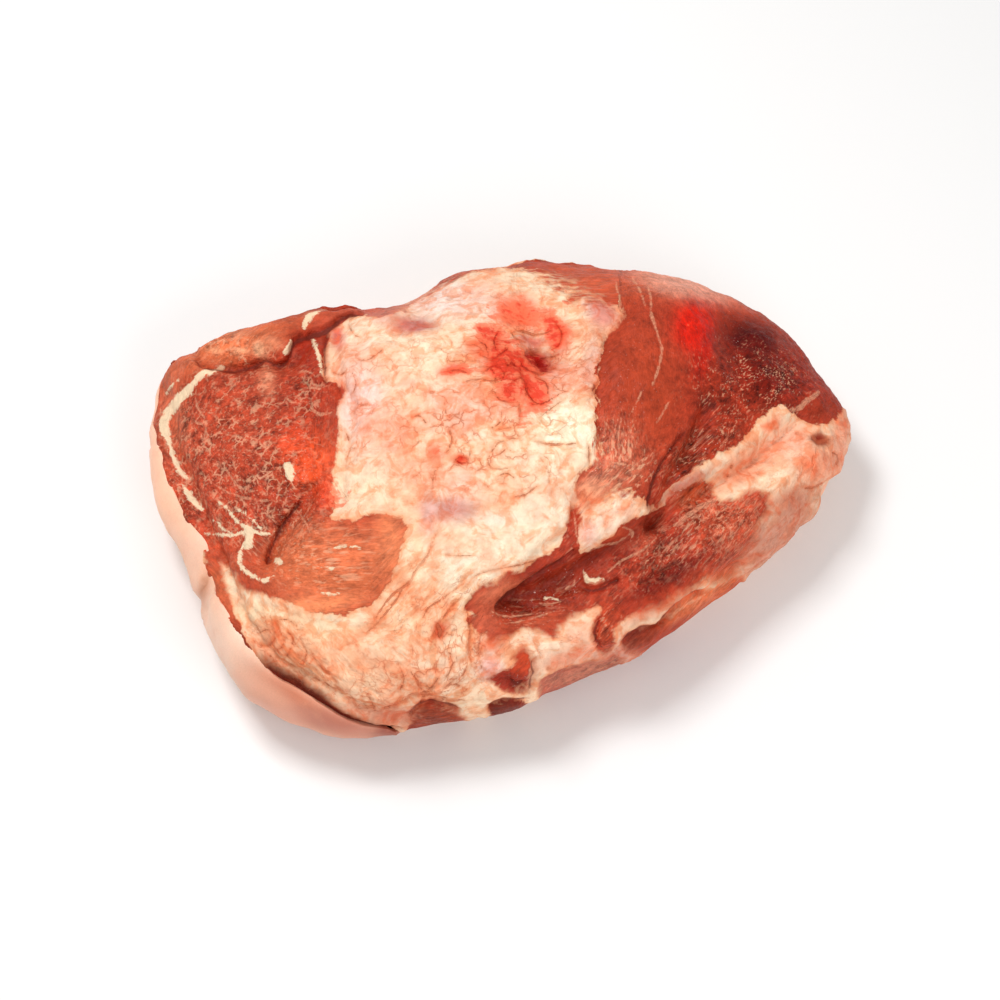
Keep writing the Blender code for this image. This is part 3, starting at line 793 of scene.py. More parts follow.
# %% Hollows and knobs
KNOBS = [
    (170, 346, 20, 24, 0, -4.6), (196, 350, 22, 11, 22, 4.4), (342, 294, 32, 13, 8, -8.0),
    (374, 302, 18, 11, 0, -3.4), (348, 278, 30, 13, 0, -5.0), (545, 262, 90, 12, -3, -2.2),
    (834, 494, 16, 10, 60, -6.0), (814, 518, 10, 8, 30, 1.4), (612, 533, 12, 7, 30, 1.3),
    (597, 557, 22, 6, 25, -1.4), (640, 546, 15, 7, 30, 1.2), (622, 556, 18, 4, 30, -0.8),
    (534, 355, 7, 4, 0, -1.0), (534, 365, 18, 4, -14, -1.0), (517, 345, 15, 5, -8, 1.6),
    (514, 375, 8, 8, 0, 1.8), (532, 333, 22, 3, 0, -1.2), (520, 318, 28, 12, -6, -1.2),
    (558, 338, 10, 18, 10, 1.0), (536, 396, 14, 10, -30, -1.0), (524, 388, 6, 6, 0, 1.0),
    (545, 592, 46, 14, 27, -2.6), (497, 590, 22, 8, 22, 0.9), (592, 578, 10, 6, 0, 0.9),
    (282, 640, 14, 12, -30, 1.2), (290, 673, 40, 9, -32, 1.4), (360, 705, 50, 12, -14, 1.2),
    (424, 696, 20, 7, 0, -1.6), (440, 630, 7, 9, 0, -1.4), (535, 645, 30, 13, -8, 1.6),
    (521, 662, 9, 15, 0, 1.8), (508, 682, 14, 6, 0, -1.4), (560, 668, 60, 5, 14, 0.8),
    (500, 654, 12, 10, 0, 0.8), (462, 460, 6, 4, 0, -0.9), (820, 440, 9, 6, 0, -1.0),
    (806, 494, 30, 6, 20, -1.0), (340, 335, 10, 6, 0, 0.8), (606, 320, 20, 6, -50, 0.8),
    (660, 585, 60, 8, 30, -1.2), (650, 610, 50, 7, 30, 0.9), (700, 596, 44, 6, 34, 0.8),
    (400, 585, 10, 40, 40, -0.8), (380, 630, 30, 14, 30, 0.8), (452, 610, 12, 40, -38, 0.9),
]

# %% [markdown]
# Fibres and gathers run in a direction that changes from place to place. It is noted here at about a
# hundred places in the picture, as a turn from level in degrees, anticlockwise as seen. Any other place
# takes the mean of the notes near it.

# %% The way that fibres and gathers run
LIE = [
    (170, 400, 80), (190, 470, -60), (235, 430, -18), (280, 420, -12), (300, 480, -20), (230, 500, -30),
    (230, 345, 24), (300, 325, 30), (345, 310, 25), (215, 550, -45), (235, 600, -55), (330, 565, -3),
    (380, 545, 4), (330, 600, -6), (270, 610, -30), (285, 645, -70), (310, 670, -38), (330, 640, -52),
    (360, 700, -16), (390, 660, -50), (360, 625, 12), (395, 595, 48), (410, 560, 66), (440, 580, 56),
    (450, 610, 52), (480, 585, 32), (520, 562, 22), (440, 545, 66), (480, 530, 4), (520, 520, 12),
    (440, 650, 84), (470, 650, 90), (420, 690, -66), (440, 690, 50), (400, 705, -4), (460, 700, -10),
    (350, 400, 86), (345, 450, 80), (375, 440, 64), (400, 400, 40), (390, 350, 20), (375, 325, -40),
    (430, 310, -8), (460, 290, 14), (500, 280, 70), (480, 320, -40), (470, 350, -20), (460, 380, 6),
    (500, 370, 40), (520, 345, -6), (556, 336, 80), (535, 365, -30), (540, 400, -50), (570, 375, 10),
    (545, 272, -30), (562, 286, -14), (584, 298, -8), (575, 320, -14), (590, 350, 50), (588, 385, 62),
    (590, 420, 80), (560, 430, 22), (530, 440, 8), (560, 480, 74), (520, 480, 20), (440, 440, 80),
    (470, 460, 10), (440, 500, 0), (590, 490, 36), (620, 505, 36), (600, 520, 44), (610, 450, 96),
    (625, 360, 80), (650, 300, 84), (655, 400, 70), (695, 335, 84), (750, 350, 58), (770, 390, 54),
    (710, 410, 60), (700, 455, 44), (680, 475, 42), (820, 410, 28), (745, 470, 30), (790, 450, 28),
    (825, 460, -60), (790, 500, 38), (720, 520, 38), (660, 550, 36), (600, 560, 34), (540, 595, 30),
    (500, 595, 24), (500, 625, -8), (540, 622, 10), (570, 535, 76), (660, 580, 30), (650, 610, 30),
    (700, 595, 34), (760, 545, 38), (605, 630, 80), (540, 645, -8), (580, 632, 20), (575, 675, 16),
    (620, 655, 24), (520, 665, 76), (500, 680, 20), (505, 712, 8), (435, 718, 2), (490, 660, 60),
]
print(len(KNOBS), "knobs and hollows,", len(LIE), "notes on the fibres")

# %% [markdown]
# These helpers read the tables for any place. A picker's tone is turned into the light that a shader
# works in. The lamps are a little too strong and the wet sheen adds white, so tones are stored a little
# darker, and those of the fat lighter again by what the material's valleys and blushes take from it
# later.

# %% Ovals and washes at any place
OVAL_POWER = 1.4
TONE_GAIN = np.array([0.97, 0.90, 0.86])
SHEEN_SHARE = 0.006
DARKEST = 0.002
FAT_GAIN = np.array([1.02, 1.20, 1.32])
LIGHTEST = 0.97


def oval_share(spots, x, y, half_long, half_wide, turn):
    """1 at the middle of an oval, falling softly to 0 round it. The turn is seen anticlockwise."""
    turn = math.radians(turn)
    off = spots - (x, y)
    along = (off[:, 0] * math.cos(turn) - off[:, 1] * math.sin(turn)) / half_long
    aside = (off[:, 0] * math.sin(turn) + off[:, 1] * math.cos(turn)) / half_wide
    return np.exp(-((along**2 + aside**2) ** OVAL_POWER))


def ovals_sum(spots, ovals, limit=1):
    """The strengths of all ovals at each spot, at most limit."""
    total = np.zeros(len(spots))
    for *oval, strength in ovals:
        total += strength * oval_share(spots, *oval)
    return np.minimum(total, limit)


def linear(tone):
    """A colour picker's 0 to 255 as the light that a shader works in."""
    share = np.array(tone) / 255
    light = np.where(share <= 0.04045, share / 12.92, ((share + 0.055) / 1.055) ** 2.4)
    return np.maximum(light * TONE_GAIN - SHEEN_SHARE, DARKEST)


def washed(spots, tone, washes):
    """The tone with every wash laid over it in turn, as rows of linear red, green and blue."""
    colour = np.tile(linear(tone), (len(spots), 1))
    for *oval, wash, strength in washes.values():
        share = np.clip(strength * oval_share(spots, *oval), 0, 1)[:, None]
        colour += (linear(wash) - colour) * share
    return colour

# %% [markdown]
# A turn can't be averaged as it is, because a fibre at 179 degrees lies almost like one at 0. The cosine
# and sine of twice the turn can, and they are what the mesh carries later.

# %% The fibres at any place
LIE_SPREAD = 24.0


def lie_of(spots):
    """The way that fibres run at each spot, as the cosine and sine of twice the turn."""
    pull = np.zeros((len(spots), 2))
    for x, y, turn in LIE:
        near = np.exp(-np.sum((spots - (x, y)) ** 2, axis=1) / (2 * LIE_SPREAD**2)) + TINY
        pull += near[:, None] * (math.cos(math.radians(2 * turn)), math.sin(math.radians(2 * turn)))
    return pull / np.maximum(np.linalg.norm(pull, axis=1, keepdims=True), 1e-12)

# %% [markdown]
# Noise keeps everything uneven. Blender's own fractal noise is sampled at each point, with a size for
# its lumps. The same numbers come out each time, because its seed is only an offset. Noise along the
# fibres is made of four noises, each drawn out along a turn of its own, and mixed by how well each turn
# fits the fibres.

# %% Noise on the skin
FOUR_TURNS = (0, 45, 90, 135)
LEAST_SHARE = 0.01


def ruffle(places, size, seed, octaves=2):
    """Noise mostly between -1 and 1, in lumps about size metres wide."""
    offset = Vector((seed, 1.7 * seed, -0.6 * seed))
    return np.array([noise.fractal(Vector(place) + offset, 1.0, 2.0, octaves) for place in places / size])


def lie_shares(lie):
    """How much each of the four turns counts, which adds up to 1."""
    shares = []
    for turn in FOUR_TURNS:
        double = math.radians(2 * turn)
        shares.append(np.maximum(lie[:, 0] * math.cos(double) + lie[:, 1] * math.sin(double), 0) ** 2)
    return shares


def drawn_out(places, lie, length, width, seed):
    """Noise between -1 and 1 that is drawn out along the fibres."""
    seen = np.column_stack([places[:, 0], places @ camera_up, places @ to_camera])
    total = np.zeros(len(places))
    for turn, share in zip(FOUR_TURNS, lie_shares(lie)):
        turn = math.radians(turn)
        along = (seen[:, 0] * math.cos(turn) + seen[:, 1] * math.sin(turn)) / length
        aside = (seen[:, 1] * math.cos(turn) - seen[:, 0] * math.sin(turn)) / width
        used = np.flatnonzero(share > LEAST_SHARE)
        spots = np.column_stack([along, aside, seen[:, 2] / width])[used] + (seed, -seed, 0.5 * seed)
        total[used] += share[used] * np.array([noise.noise(Vector(spot)) for spot in spots])
    return total


def wandered(spots, places, amount, size, seed):
    """The spots pushed about by noise, so that what is drawn through them looks torn and not ruled."""
    push = [ruffle(places, size, seed), ruffle(places, size, seed + 31)]
    return spots + amount * np.column_stack(push)

# %% [markdown]
# Now the form. The plain solid is a skin of flat triangles. A copy of it is merged, rounded with
# Subdivision Surface and remeshed into even squares a millimetre and a half wide. Remesh leaves small
# steps, which a few turns of Smooth take out.

# %% A fine, even skin over the solid
ROUNDED_TWICE = 2
EVEN_SPACING = 1.5 * MM
RELAX_SHARE = 0.5
RELAX_TURNS = 6
MERGED_WITHIN = 0.001 * MM


def applied(piece):
    """The piece's mesh with its modifiers made real."""
    graph = bpy.context.evaluated_depsgraph_get()
    mesh = bpy.data.meshes.new_from_object(piece.evaluated_get(graph))
    piece.modifiers.clear()
    piece.data = mesh
    return mesh


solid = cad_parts["pork_shoulder"]
merged = bmesh.new()
merged.from_mesh(solid.data)
bmesh.ops.remove_doubles(merged, verts=merged.verts, dist=MERGED_WITHIN)
form = BVHTree.FromBMesh(merged)
meat_mesh = bpy.data.meshes.new("meat")
merged.to_mesh(meat_mesh)
merged.free()
meat = bpy.data.objects.new("meat", meat_mesh)
bpy.context.scene.collection.objects.link(meat)

rounding = meat.modifiers.new("rounding", "SUBSURF")
rounding.levels = ROUNDED_TWICE
rounding.render_levels = ROUNDED_TWICE
evening = meat.modifiers.new("evening", "REMESH")
evening.mode = "VOXEL"
evening.voxel_size = EVEN_SPACING
relaxing = meat.modifiers.new("relaxing", "SMOOTH")
relaxing.factor = RELAX_SHARE
relaxing.iterations = RELAX_TURNS
applied(meat)
print("the even skin has", len(meat.data.polygons), "faces")

# %% [markdown]
# The rind's rim runs round the joint at a height that changes. Where it shows, it is easiest drawn in
# the picture, like the muscles. Elsewhere its heights are given by direction from the middle, in degrees
# anticlockwise from the shank end, and in millimetres: well up the far wall, and nearly on the table
# along the near side.

# %% The rind's rim
RIND_SHOWS = [
    (153, 424), (158, 436), (162, 450), (167, 468), (174, 490), (183, 509), (194, 526), (206, 541),
    (212, 562), (215, 588), (226, 608), (238, 628), (252, 648), (266, 667), (280, 679), (298, 688),
    (316, 700), (338, 715), (362, 725), (396, 730), (410, 745), (380, 765), (250, 745), (175, 650),
    (125, 550), (125, 440), (145, 420),
]
RIM_HEIGHTS = [
    (-30, 10), (-15, 12), (0, 16), (15, 24), (35, 32), (60, 36), (90, 40), (115, 37), (135, 38), (150, 38),
    (165, 36), (175, 34), (180, 34), (235, 20), (250, 9), (258, 5), (270, 3), (300, 3), (318, 5), (330, 9),
]
print("the rim is given in", len(RIM_HEIGHTS), "directions")

# %% [markdown]
# Rays from the middle of the joint find the solid's surface down each direction, and the rim lies where
# that path enters the outline drawn in the picture, or else at the given height.

# %% Find the rim on the solid
RIND_COLUMNS = 360
MIDDLE = Vector((0, 0, 40 * MM))
# Steepness of the rays in degrees, closest together where they reach the lower edge
STEEPNESS = np.concatenate([
    np.linspace(66, -10, 70),
    np.linspace(-10.2, -26, 130),
    np.linspace(-27, -90, 30),
])
CROSSING_STEPS = 20
RIM_SMOOTHING = (0.2, 0.6, 0.2)


def points_of(mesh):
    """The mesh's points as rows of x, y, z."""
    places = np.empty(len(mesh.vertices) * 3)
    mesh.vertices.foreach_get("co", places)
    return places.reshape(-1, 3)


def normals_of(mesh):
    """The outward direction at each point of the mesh."""
    outward = np.empty(len(mesh.vertices) * 3)
    mesh.vertices.foreach_get("normal", outward)
    return outward.reshape(-1, 3)


def path_down(turn):
    """Places on the solid from near its top to the middle of its underside, in one direction."""
    found = []
    for steep in np.radians(STEEPNESS):
        ray = Vector((math.cos(turn) * math.cos(steep), math.sin(turn) * math.cos(steep), math.sin(steep)))
        found.append(form.ray_cast(MIDDLE, ray)[0])
    return np.array(found)


rim_turns = np.linspace(-math.pi, math.pi, RIND_COLUMNS, endpoint=False)
paths = [path_down(turn) for turn in rim_turns]
directions, heights = np.array(RIM_HEIGHTS, float).T
rims = np.interp(np.degrees(rim_turns), directions, heights, period=360) * MM
rind_ring = rounded(RIND_SHOWS, closed=True)
for column, path in enumerate(paths):
    entered = np.flatnonzero(inside(rind_ring, picture_place(path)))
    if len(entered) and entered[0] > 0:
        ends = path[entered[0] - 1:entered[0] + 1]
        shares = np.linspace(0, 1, CROSSING_STEPS)[:, None]
        fine = ends[0] + shares * (ends[1] - ends[0])
        rims[column] = fine[np.flatnonzero(inside(rind_ring, picture_place(fine)))[0], 2]
rims = np.convolve(np.concatenate([rims[-1:], rims, rims[:1]]), RIM_SMOOTHING, "valid")


def below_rim(places):
    """How far each place lies below the rim, in metres."""
    turns = np.arctan2(places[:, 1], places[:, 0])
    return np.interp(turns, rim_turns, rims, period=2 * math.pi) - places[:, 2]


print("rim heights in mm, every 10 degrees:", (rims[::10] / MM).round())

# %% [markdown]
# Nobody will ever see the meat under the rind, so its faces there are thinned out. Decimate takes a
# vertex group that says where it may work. Near lines, at the edges of muscles and in the gathered fat
# the faces are split instead, so that they can carry finer relief.

# %% Thin the hidden faces and split the busy ones
THINNED = 0.43
HIDDEN_BELOW = 2 * MM
# Faces are split this near to a line in pixels, where wrinkles have their full strength, and down to here
BUSY = 1.7
FULLY_WRINKLED = 0.99
SPLIT_DOWN_TO = 3 * MM


def nearest_line(spots, *tables):
    """How far from the nearest line's edge each spot lies, in pixels, and less than 0 within the line."""
    nearest = np.full(len(spots), LINE_REACH)
    for table in tables:
        for half_width, points in sum(table.values(), []):
            nearest = np.minimum(nearest, distance_to(widened(half_width, points), spots, LINE_REACH))
    return nearest


def lean_depth(spots):
    """How far inside the lean each spot lies, in pixels, and less than 0 in the fat."""
    deepest = np.full(len(spots), -REACH)
    for outline in MUSCLES.values():
        deepest = np.maximum(deepest, depth_inside(outline, spots))
    return deepest


hidden = meat.vertex_groups.new(name="hidden")
under_rind = np.flatnonzero(below_rim(points_of(meat.data)) > HIDDEN_BELOW)
hidden.add(under_rind.tolist(), 1.0, "REPLACE")
thinning = meat.modifiers.new("thinning", "DECIMATE")
thinning.ratio = THINNED
thinning.vertex_group = "hidden"
applied(meat)
print("thinned to", len(meat.data.polygons), "faces")

places = points_of(meat.data)
spots = painted_place(places, normals_of(meat.data))
to_line = nearest_line(spots, FAT_SEAMS, THREADS, CREASES, DEEP_GAPS)
to_edge = np.minimum(to_line, np.abs(lean_depth(spots)))
busy = (to_edge < BUSY) | (ovals_sum(spots, WRINKLED) > FULLY_WRINKLED)
busy &= below_rim(places) < SPLIT_DOWN_TO
skin = bmesh.new()
skin.from_mesh(meat.data)
skin.verts.ensure_lookup_table()
split = [edge for edge in skin.edges if busy[edge.verts[0].index] and busy[edge.verts[1].index]]
bmesh.ops.subdivide_edges(skin, edges=split, cuts=1, use_grid_fill=True)
bmesh.ops.triangulate(skin, faces=skin.faces)
skin.to_mesh(meat.data)
skin.free()
print("split to", len(meat.data.polygons), "triangles")

# %% [markdown]
# Everything that relief and paint need is measured once for each point of the skin: how deep in the lean
# it lies, how near a seam or a crease, how wrinkled it is and which way its fibres run. The places are
# pushed about by noise first, so that borders look torn and not ruled. Thin lines are pushed less, or
# they would break up.

# %% Measure the skin
# How far places are pushed in pixels, in lumps of what size, and the noise's seed
WANDERS = ((3.0, 9 * MM, 21.3), (1.2, 3 * MM, 47.9))
LINE_WANDER = 0.25
LEAN_SHOULDER = 0.8
RIM_FADE = (-3 * MM, 0.5 * MM)

places = points_of(meat.data)
outward = normals_of(meat.data)
straight = painted_place(places, outward)
spots = straight
for amount, size, seed in WANDERS:
    spots = wandered(spots, places, amount, size, seed)
drawn = straight + LINE_WANDER * (spots - straight)
depth = lean_depth(spots)
seam, thread, crease, gap = [
    nearest_line(drawn, table) for table in (FAT_SEAMS, THREADS, CREASES, DEEP_GAPS)
]
lean = np.minimum(depth, seam) * PIXEL / MM
lean_share = smooth_share(lean, -LEAN_SHOULDER, LEAN_SHOULDER)
wrinkled = ovals_sum(straight, WRINKLED)
lie = lie_of(straight)
shown = smooth_share(-below_rim(places), *RIM_FADE)
print("lean covers", round(100 * float(np.mean(lean > 0))), "per cent of the points")

# %% [markdown]
# Now the relief. Fat stands a little proud of lean and is lumpy, lean is combed along its fibres,
# creases are cut in, and wrinkled fat is gathered into ridges. Each part is measured in millimetres
# along the surface's own outward direction, and they add up. Under the rind the skin sinks by the rind's
# thickness, and deeper down it is drawn in towards the middle of the joint, so that no meat comes
# through the rind.

# %% Raise and cut the skin
FAT_PROUD = 0.6
FAT_LUMPS = 1.1
FAT_GRIT = 0.5
LEAN_COMB = 0.5
LEAN_SWELL = 0.4
RIDGE_SLOPE = 2.6
CREASE_CUT = 0.45
CREASE_REACH = 1.3
GAP_CUT = 2.0
GAP_REACH = 2.0
FINE_GATHERS = 0.45
BROAD_GATHERS = 0.4
GATHERS_LEVEL = 0.45
WRINKLE_RISE = 1.5
WRINKLE_EVERYWHERE = 0.25
WRINKLE_LESS_ON_LEAN = 0.6
HIGHEST_KNOB = 9
RIND_SINK = 2.6
DRAWN_IN = 0.20
DRAWN_IN_FROM = (2 * MM, 9 * MM)
LEAST_HEIGHT = 0.3 * MM


def ridges(length, width, seed):
    """Ridges along the fibres, 1 on their crests."""
    return 1 - RIDGE_SLOPE * np.abs(drawn_out(places, lie, length, width, seed))


def groove(distance, reach):
    """1 on a line, falling to 0 within about twice the reach beside it, in pixels."""
    return np.exp(-((np.maximum(distance, 0) / reach) ** 2))


rise = (1 - lean_share) * (
    FAT_PROUD
    + FAT_LUMPS * ruffle(places, 11 * MM, 5.3)
    + FAT_GRIT * ruffle(places, 3.6 * MM, 9.7)
)
rise += lean_share * (LEAN_COMB * drawn_out(places, lie, 12 * MM, 2.4 * MM, 2.2))
rise += lean_share * LEAN_SWELL * ruffle(places, 8 * MM, 7.9)
gathers = FINE_GATHERS * ridges(11 * MM, 3.6 * MM, 3.1) + BROAD_GATHERS * ridges(24 * MM, 7 * MM, 8.4)
gathered_share = (WRINKLE_EVERYWHERE + wrinkled) * (1 - WRINKLE_LESS_ON_LEAN * lean_share)
rise += WRINKLE_RISE * gathered_share * (gathers - GATHERS_LEVEL)
rise += ovals_sum(drawn, KNOBS, HIGHEST_KNOB)
rise -= CREASE_CUT * groove(crease, CREASE_REACH)
rise -= GAP_CUT * groove(gap, GAP_REACH)
rise = rise * shown - RIND_SINK * (1 - shown)
moved = places + outward * (rise * MM)[:, None]
buried = smooth_share(below_rim(places), *DRAWN_IN_FROM)
moved += DRAWN_IN * buried[:, None] * (np.array(MIDDLE) - moved)
moved[:, 2] = np.maximum(moved[:, 2], LEAST_HEIGHT)
meat.data.vertices.foreach_set("co", moved.ravel())
meat.data.shade_smooth()
meat.data.update()
print("relief from", round(float(rise.min()), 2), "to", round(float(rise.max()), 2), "mm")

# %% [markdown]
# The paint is stored on the mesh as attributes, which go wherever the mesh goes. A material reads them
# by name. Edges are stored as distances and not as yes or no, because a distance stays smooth between
# two points and the material can then cut a crisp edge through it.

# %% Store the paint on the mesh
MOST_SOFT = 3


def store(mesh, name, values):
    """One number, or three, for each point of the mesh."""
    single = values.ndim == 1
    attribute = mesh.attributes.new(name, "FLOAT" if single else "FLOAT_VECTOR", "POINT")
    attribute.data.foreach_set("value" if single else "vector", values.astype(np.float32).ravel())


def store_colour(mesh, name, colour):
    """A colour for each point of the mesh, with nothing see-through."""
    attribute = mesh.color_attributes.new(name, "FLOAT_COLOR", "POINT")
    solid_colour = np.column_stack([colour, np.ones(len(colour))])
    attribute.data.foreach_set("color", solid_colour.astype(np.float32).ravel())


distances = {"muscle": depth, "seam": seam, "thread": thread, "crease": crease, "gap": gap}
for name, distance in distances.items():
    store(meat.data, name, distance * PIXEL / MM)
store(meat.data, "lie", np.column_stack([lie, 0 * depth]))
zones = {
    "marbled": MARBLED, "crackled": CRACKLED, "wrinkled": WRINKLED, "wet": WET, "bloody": BLOODY,
    "deep_blood": DEEP_BLOOD, "flecked": FLECKED, "streaked": STREAKED,
}
for name, ovals in zones.items():
    store(meat.data, name, ovals_sum(spots, ovals))
for name, ovals in {"soft_edged": SOFT_EDGED, "combed": COMBED}.items():
    store(meat.data, name, ovals_sum(spots, ovals, MOST_SOFT))
store_colour(meat.data, "lean_colour", washed(spots, LEAN_TONE, LEAN_WASHES))
fat_colour = washed(spots, FAT_TONE, FAT_WASHES) * FAT_GAIN
store_colour(meat.data, "fat_colour", np.minimum(fat_colour, LIGHTEST))
print("stored", [attribute.name for attribute in meat.data.attributes])

# %% [markdown]
# A material is a tree of nodes. This helper starts one and makes its nodes short to write. Its add makes
# any kind of node, and the others each make one kind and return the socket that the next one plugs into.

# %% Helpers for a material's nodes
class Tree:
    """A new material and short ways to add nodes to it."""

    def __init__(self, name):
        self.material = bpy.data.materials.new(name)
        self.material.use_nodes = True
        self.nodes = self.material.node_tree.nodes
        self.shader = self.nodes["Principled BSDF"]
        self.here = self.add("ShaderNodeTexCoord").outputs["Object"]

    def fill(self, node, sockets):
        """A socket given another node's socket is linked, and any other is set."""
        for name, source in sockets.items():
            if isinstance(source, bpy.types.NodeSocket):
                self.material.node_tree.links.new(source, node.inputs[name])
            else:
                node.inputs[name].default_value = source

    def add(self, kind, sockets=None, **settings):
        """A node with these settings and sockets."""
        made = self.nodes.new(kind)
        for name, setting in settings.items():
            setattr(made, name, setting)
        self.fill(made, sockets or {})
        return made

    def chain(self, operation, first, others):
        """The first number with each of the others worked into it in turn."""
        for other in others:
            first = self.add("ShaderNodeMath", {0: first, 1: other}, operation=operation).outputs[0]
        return first

    def plus(self, first, *others):
        return self.chain("ADD", first, others)

    def less(self, first, *others):
        return self.chain("SUBTRACT", first, others)

    def times(self, first, *others):
        return self.chain("MULTIPLY", first, others)

    def largest(self, first, *others):
        return self.chain("MAXIMUM", first, others)

    def off_by(self, amount, middle):
        """How far the amount lies from the middle, to either side."""
        made = self.add("ShaderNodeMath", {0: self.less(amount, middle)}, operation="ABSOLUTE")
        return made.outputs[0]

    def between(self, amount, low, high, start=0.0, end=1.0):
        """Amount from low to high as start to end, with soft shoulders and nothing beyond."""
        ends = {"Value": amount, "From Min": low, "From Max": high, "To Min": start, "To Max": end}
        return self.add("ShaderNodeMapRange", ends, interpolation_type="SMOOTHSTEP").outputs["Result"]

    def blend(self, share, first, second, way="MIX"):
        """Colour from first to second by share."""
        made = self.add("ShaderNodeMix", data_type="RGBA", blend_type=way, clamp_factor=True)
        self.fill(made, {0: share, 6: first, 7: second})
        return made.outputs[2]

    def stain(self, share, colour, tone):
        """The colour multiplied by the tone, by share."""
        return self.blend(share, colour, tone, "MULTIPLY")

    def lit(self, colour, amount):
        """The colour with its light multiplied by amount."""
        return self.add("ShaderNodeVectorMath", {0: colour, "Scale": amount}, operation="SCALE").outputs[0]

    def paint(self, name, output="Fac"):
        """What the mesh carries under this name."""
        return self.add("ShaderNodeAttribute", attribute_name=name).outputs[output]

    def speckle(self, scale, detail=2.0, roughness=0.5, distortion=0.0, place=None):
        """Noise from 0 to 1, mostly near a half."""
        sockets = {"Scale": scale, "Detail": detail, "Roughness": roughness, "Distortion": distortion}
        sockets["Vector"] = self.here if place is None else place
        return self.add("ShaderNodeTexNoise", sockets).outputs["Fac"]

    def cell_edge(self, place, scale):
        """How far it is to the edge of a cell, in a net of uneven cells."""
        net = self.add("ShaderNodeTexVoronoi", {"Vector": place, "Scale": scale}, feature="DISTANCE_TO_EDGE")
        return net.outputs["Distance"]

# %% [markdown]
# Fibres run in many directions, so the material needs noise drawn out along a direction that was
# painted. A noise texture can't be bent, but four of them, drawn out at 0, 45, 90 and 135 degrees, can
# be mixed by how well each fits. The mesh carries the cosine and sine of twice the wanted turn for that,
# and the shares add up to one.

# %% Noise along the painted direction
tree = Tree("raw_meat")
level = {"Vector": tree.here, "Angle": CAMERA_ELEVATION - math.pi / 2}
seen = tree.add("ShaderNodeVectorRotate", level, rotation_type="X_AXIS").outputs[0]
painted_lie = tree.add("ShaderNodeSeparateXYZ", {0: tree.paint("lie", "Vector")})
turn_shares = []
for sign, axis in ((1, "X"), (1, "Y"), (-1, "X"), (-1, "Y")):
    facing = tree.largest(tree.times(painted_lie.outputs[axis], sign), 0.0)
    turn_shares.append(tree.times(facing, facing))


def combed(length, width, detail, seed):
    """Noise from 0 to 1, mostly near a half, in fibres of this length and width in metres."""
    parts = []
    for turn, share in zip(FOUR_TURNS, turn_shares):
        stretch = {"Rotation": (0, 0, math.radians(turn)), "Scale": (length, width, width)}
        stretch.update({"Vector": seen, "Location": (seed, 0, 0)})
        turned = tree.add("ShaderNodeMapping", stretch, vector_type="TEXTURE")
        parts.append(tree.times(share, tree.speckle(1.0, detail, 0.55, place=turned.outputs[0])))
    return tree.plus(*parts)


print("noise runs along", len(turn_shares), "turns")

# %% [markdown]
# Some noises serve the lean and the fat alike: gathers and finer fibres along the painted direction,
# blotches, lumps and grain in no direction. The net that marbling and hairlines follow is bent by a
# swirl, so that no cell of it has a straight side.

# %% Noises that lean and fat share
SWIRL_PULL = 10 * MM

gathered = combed(10 * MM, 2.8 * MM, 3.0, 0.3)
fibres = combed(5 * MM, 0.8 * MM, 1.5, 0.7)
blotches = tree.speckle(70.0, 3.0)
middling = tree.speckle(260.0, 3.0, 0.6, 0.4)
grain = tree.speckle(900.0, 2.0, 0.6)
swirl = tree.add("ShaderNodeTexNoise", {"Vector": tree.here, "Scale": 140.0, "Detail": 3.0})
pull = tree.lit(swirl.outputs["Color"], SWIRL_PULL)
swirled = tree.add("ShaderNodeVectorMath", {0: tree.here, 1: pull}, operation="ADD").outputs[0]
print("the tree has", len(tree.nodes), "nodes so far")

# %% [markdown]
# Lean is its wash, darker and lighter along the fibres and in small clots. The cut faces that are
# marbled or flecked are the busiest.

# %% The lean
lean_light = tree.plus(
    tree.between(gathered, 0.32, 0.68, -0.28, 0.22),
    tree.between(fibres, 0.30, 0.70, -0.18, 0.18),
    tree.between(blotches, 0.3, 0.7, -0.18, 0.16),
    tree.between(middling, 0.3, 0.7, -0.26, 0.24),
)
busy_share = tree.largest(tree.paint("marbled"), tree.paint("flecked"))
lean_light = tree.times(lean_light, tree.between(busy_share, 0.0, 1.0, 0.55, 1.15))
lean_colour = tree.lit(tree.paint("lean_colour", "Color"), tree.plus(lean_light, 1.0))
print("with the lean", len(tree.nodes))

# %% [markdown]
# Marbling is fat inside the muscle. On the eye of the collar it curls round the bundles of fibres, which
# the edges of the swirled net do well. Elsewhere it lies in flecks and streaks along the fibres.

# %% Marbling and threads on the lean
MARBLING_TONE = (0.94, 0.50, 0.30, 1)

curls = tree.between(tree.cell_edge(swirled, 210.0), 0.17, 0.02)
curls = tree.times(curls, tree.between(tree.speckle(170.0, 3.0), 0.46, 0.62), tree.paint("marbled"))
grit = tree.times(tree.between(tree.speckle(620.0, 1.0), 0.58, 0.72), tree.paint("marbled"), 0.6)
flecks = tree.between(combed(4.4 * MM, 1.0 * MM, 2.0, 4.1), 0.52, 0.66)
flecks = tree.times(flecks, tree.paint("flecked"), tree.between(tree.speckle(130.0, 2.0), 0.42, 0.58))
streaks = tree.between(combed(14 * MM, 1.7 * MM, 2.0, 6.6), 0.52, 0.66)
streaks = tree.times(streaks, tree.paint("streaked"))
threads = tree.plus(tree.paint("thread"), tree.between(middling, 0.3, 0.7, -0.30, 0.45))
threads = tree.between(threads, 0.60, -0.25, 0.0, 0.85)
threads = tree.times(threads, tree.between(fibres, 0.36, 0.60, 0.45, 1.0))
marbling = tree.times(tree.largest(curls, grit, flecks, streaks, threads), 0.82)
lean_colour = tree.blend(marbling, lean_colour, tree.blend(0.62, lean_colour, MARBLING_TONE))
print("with marbling", len(tree.nodes))
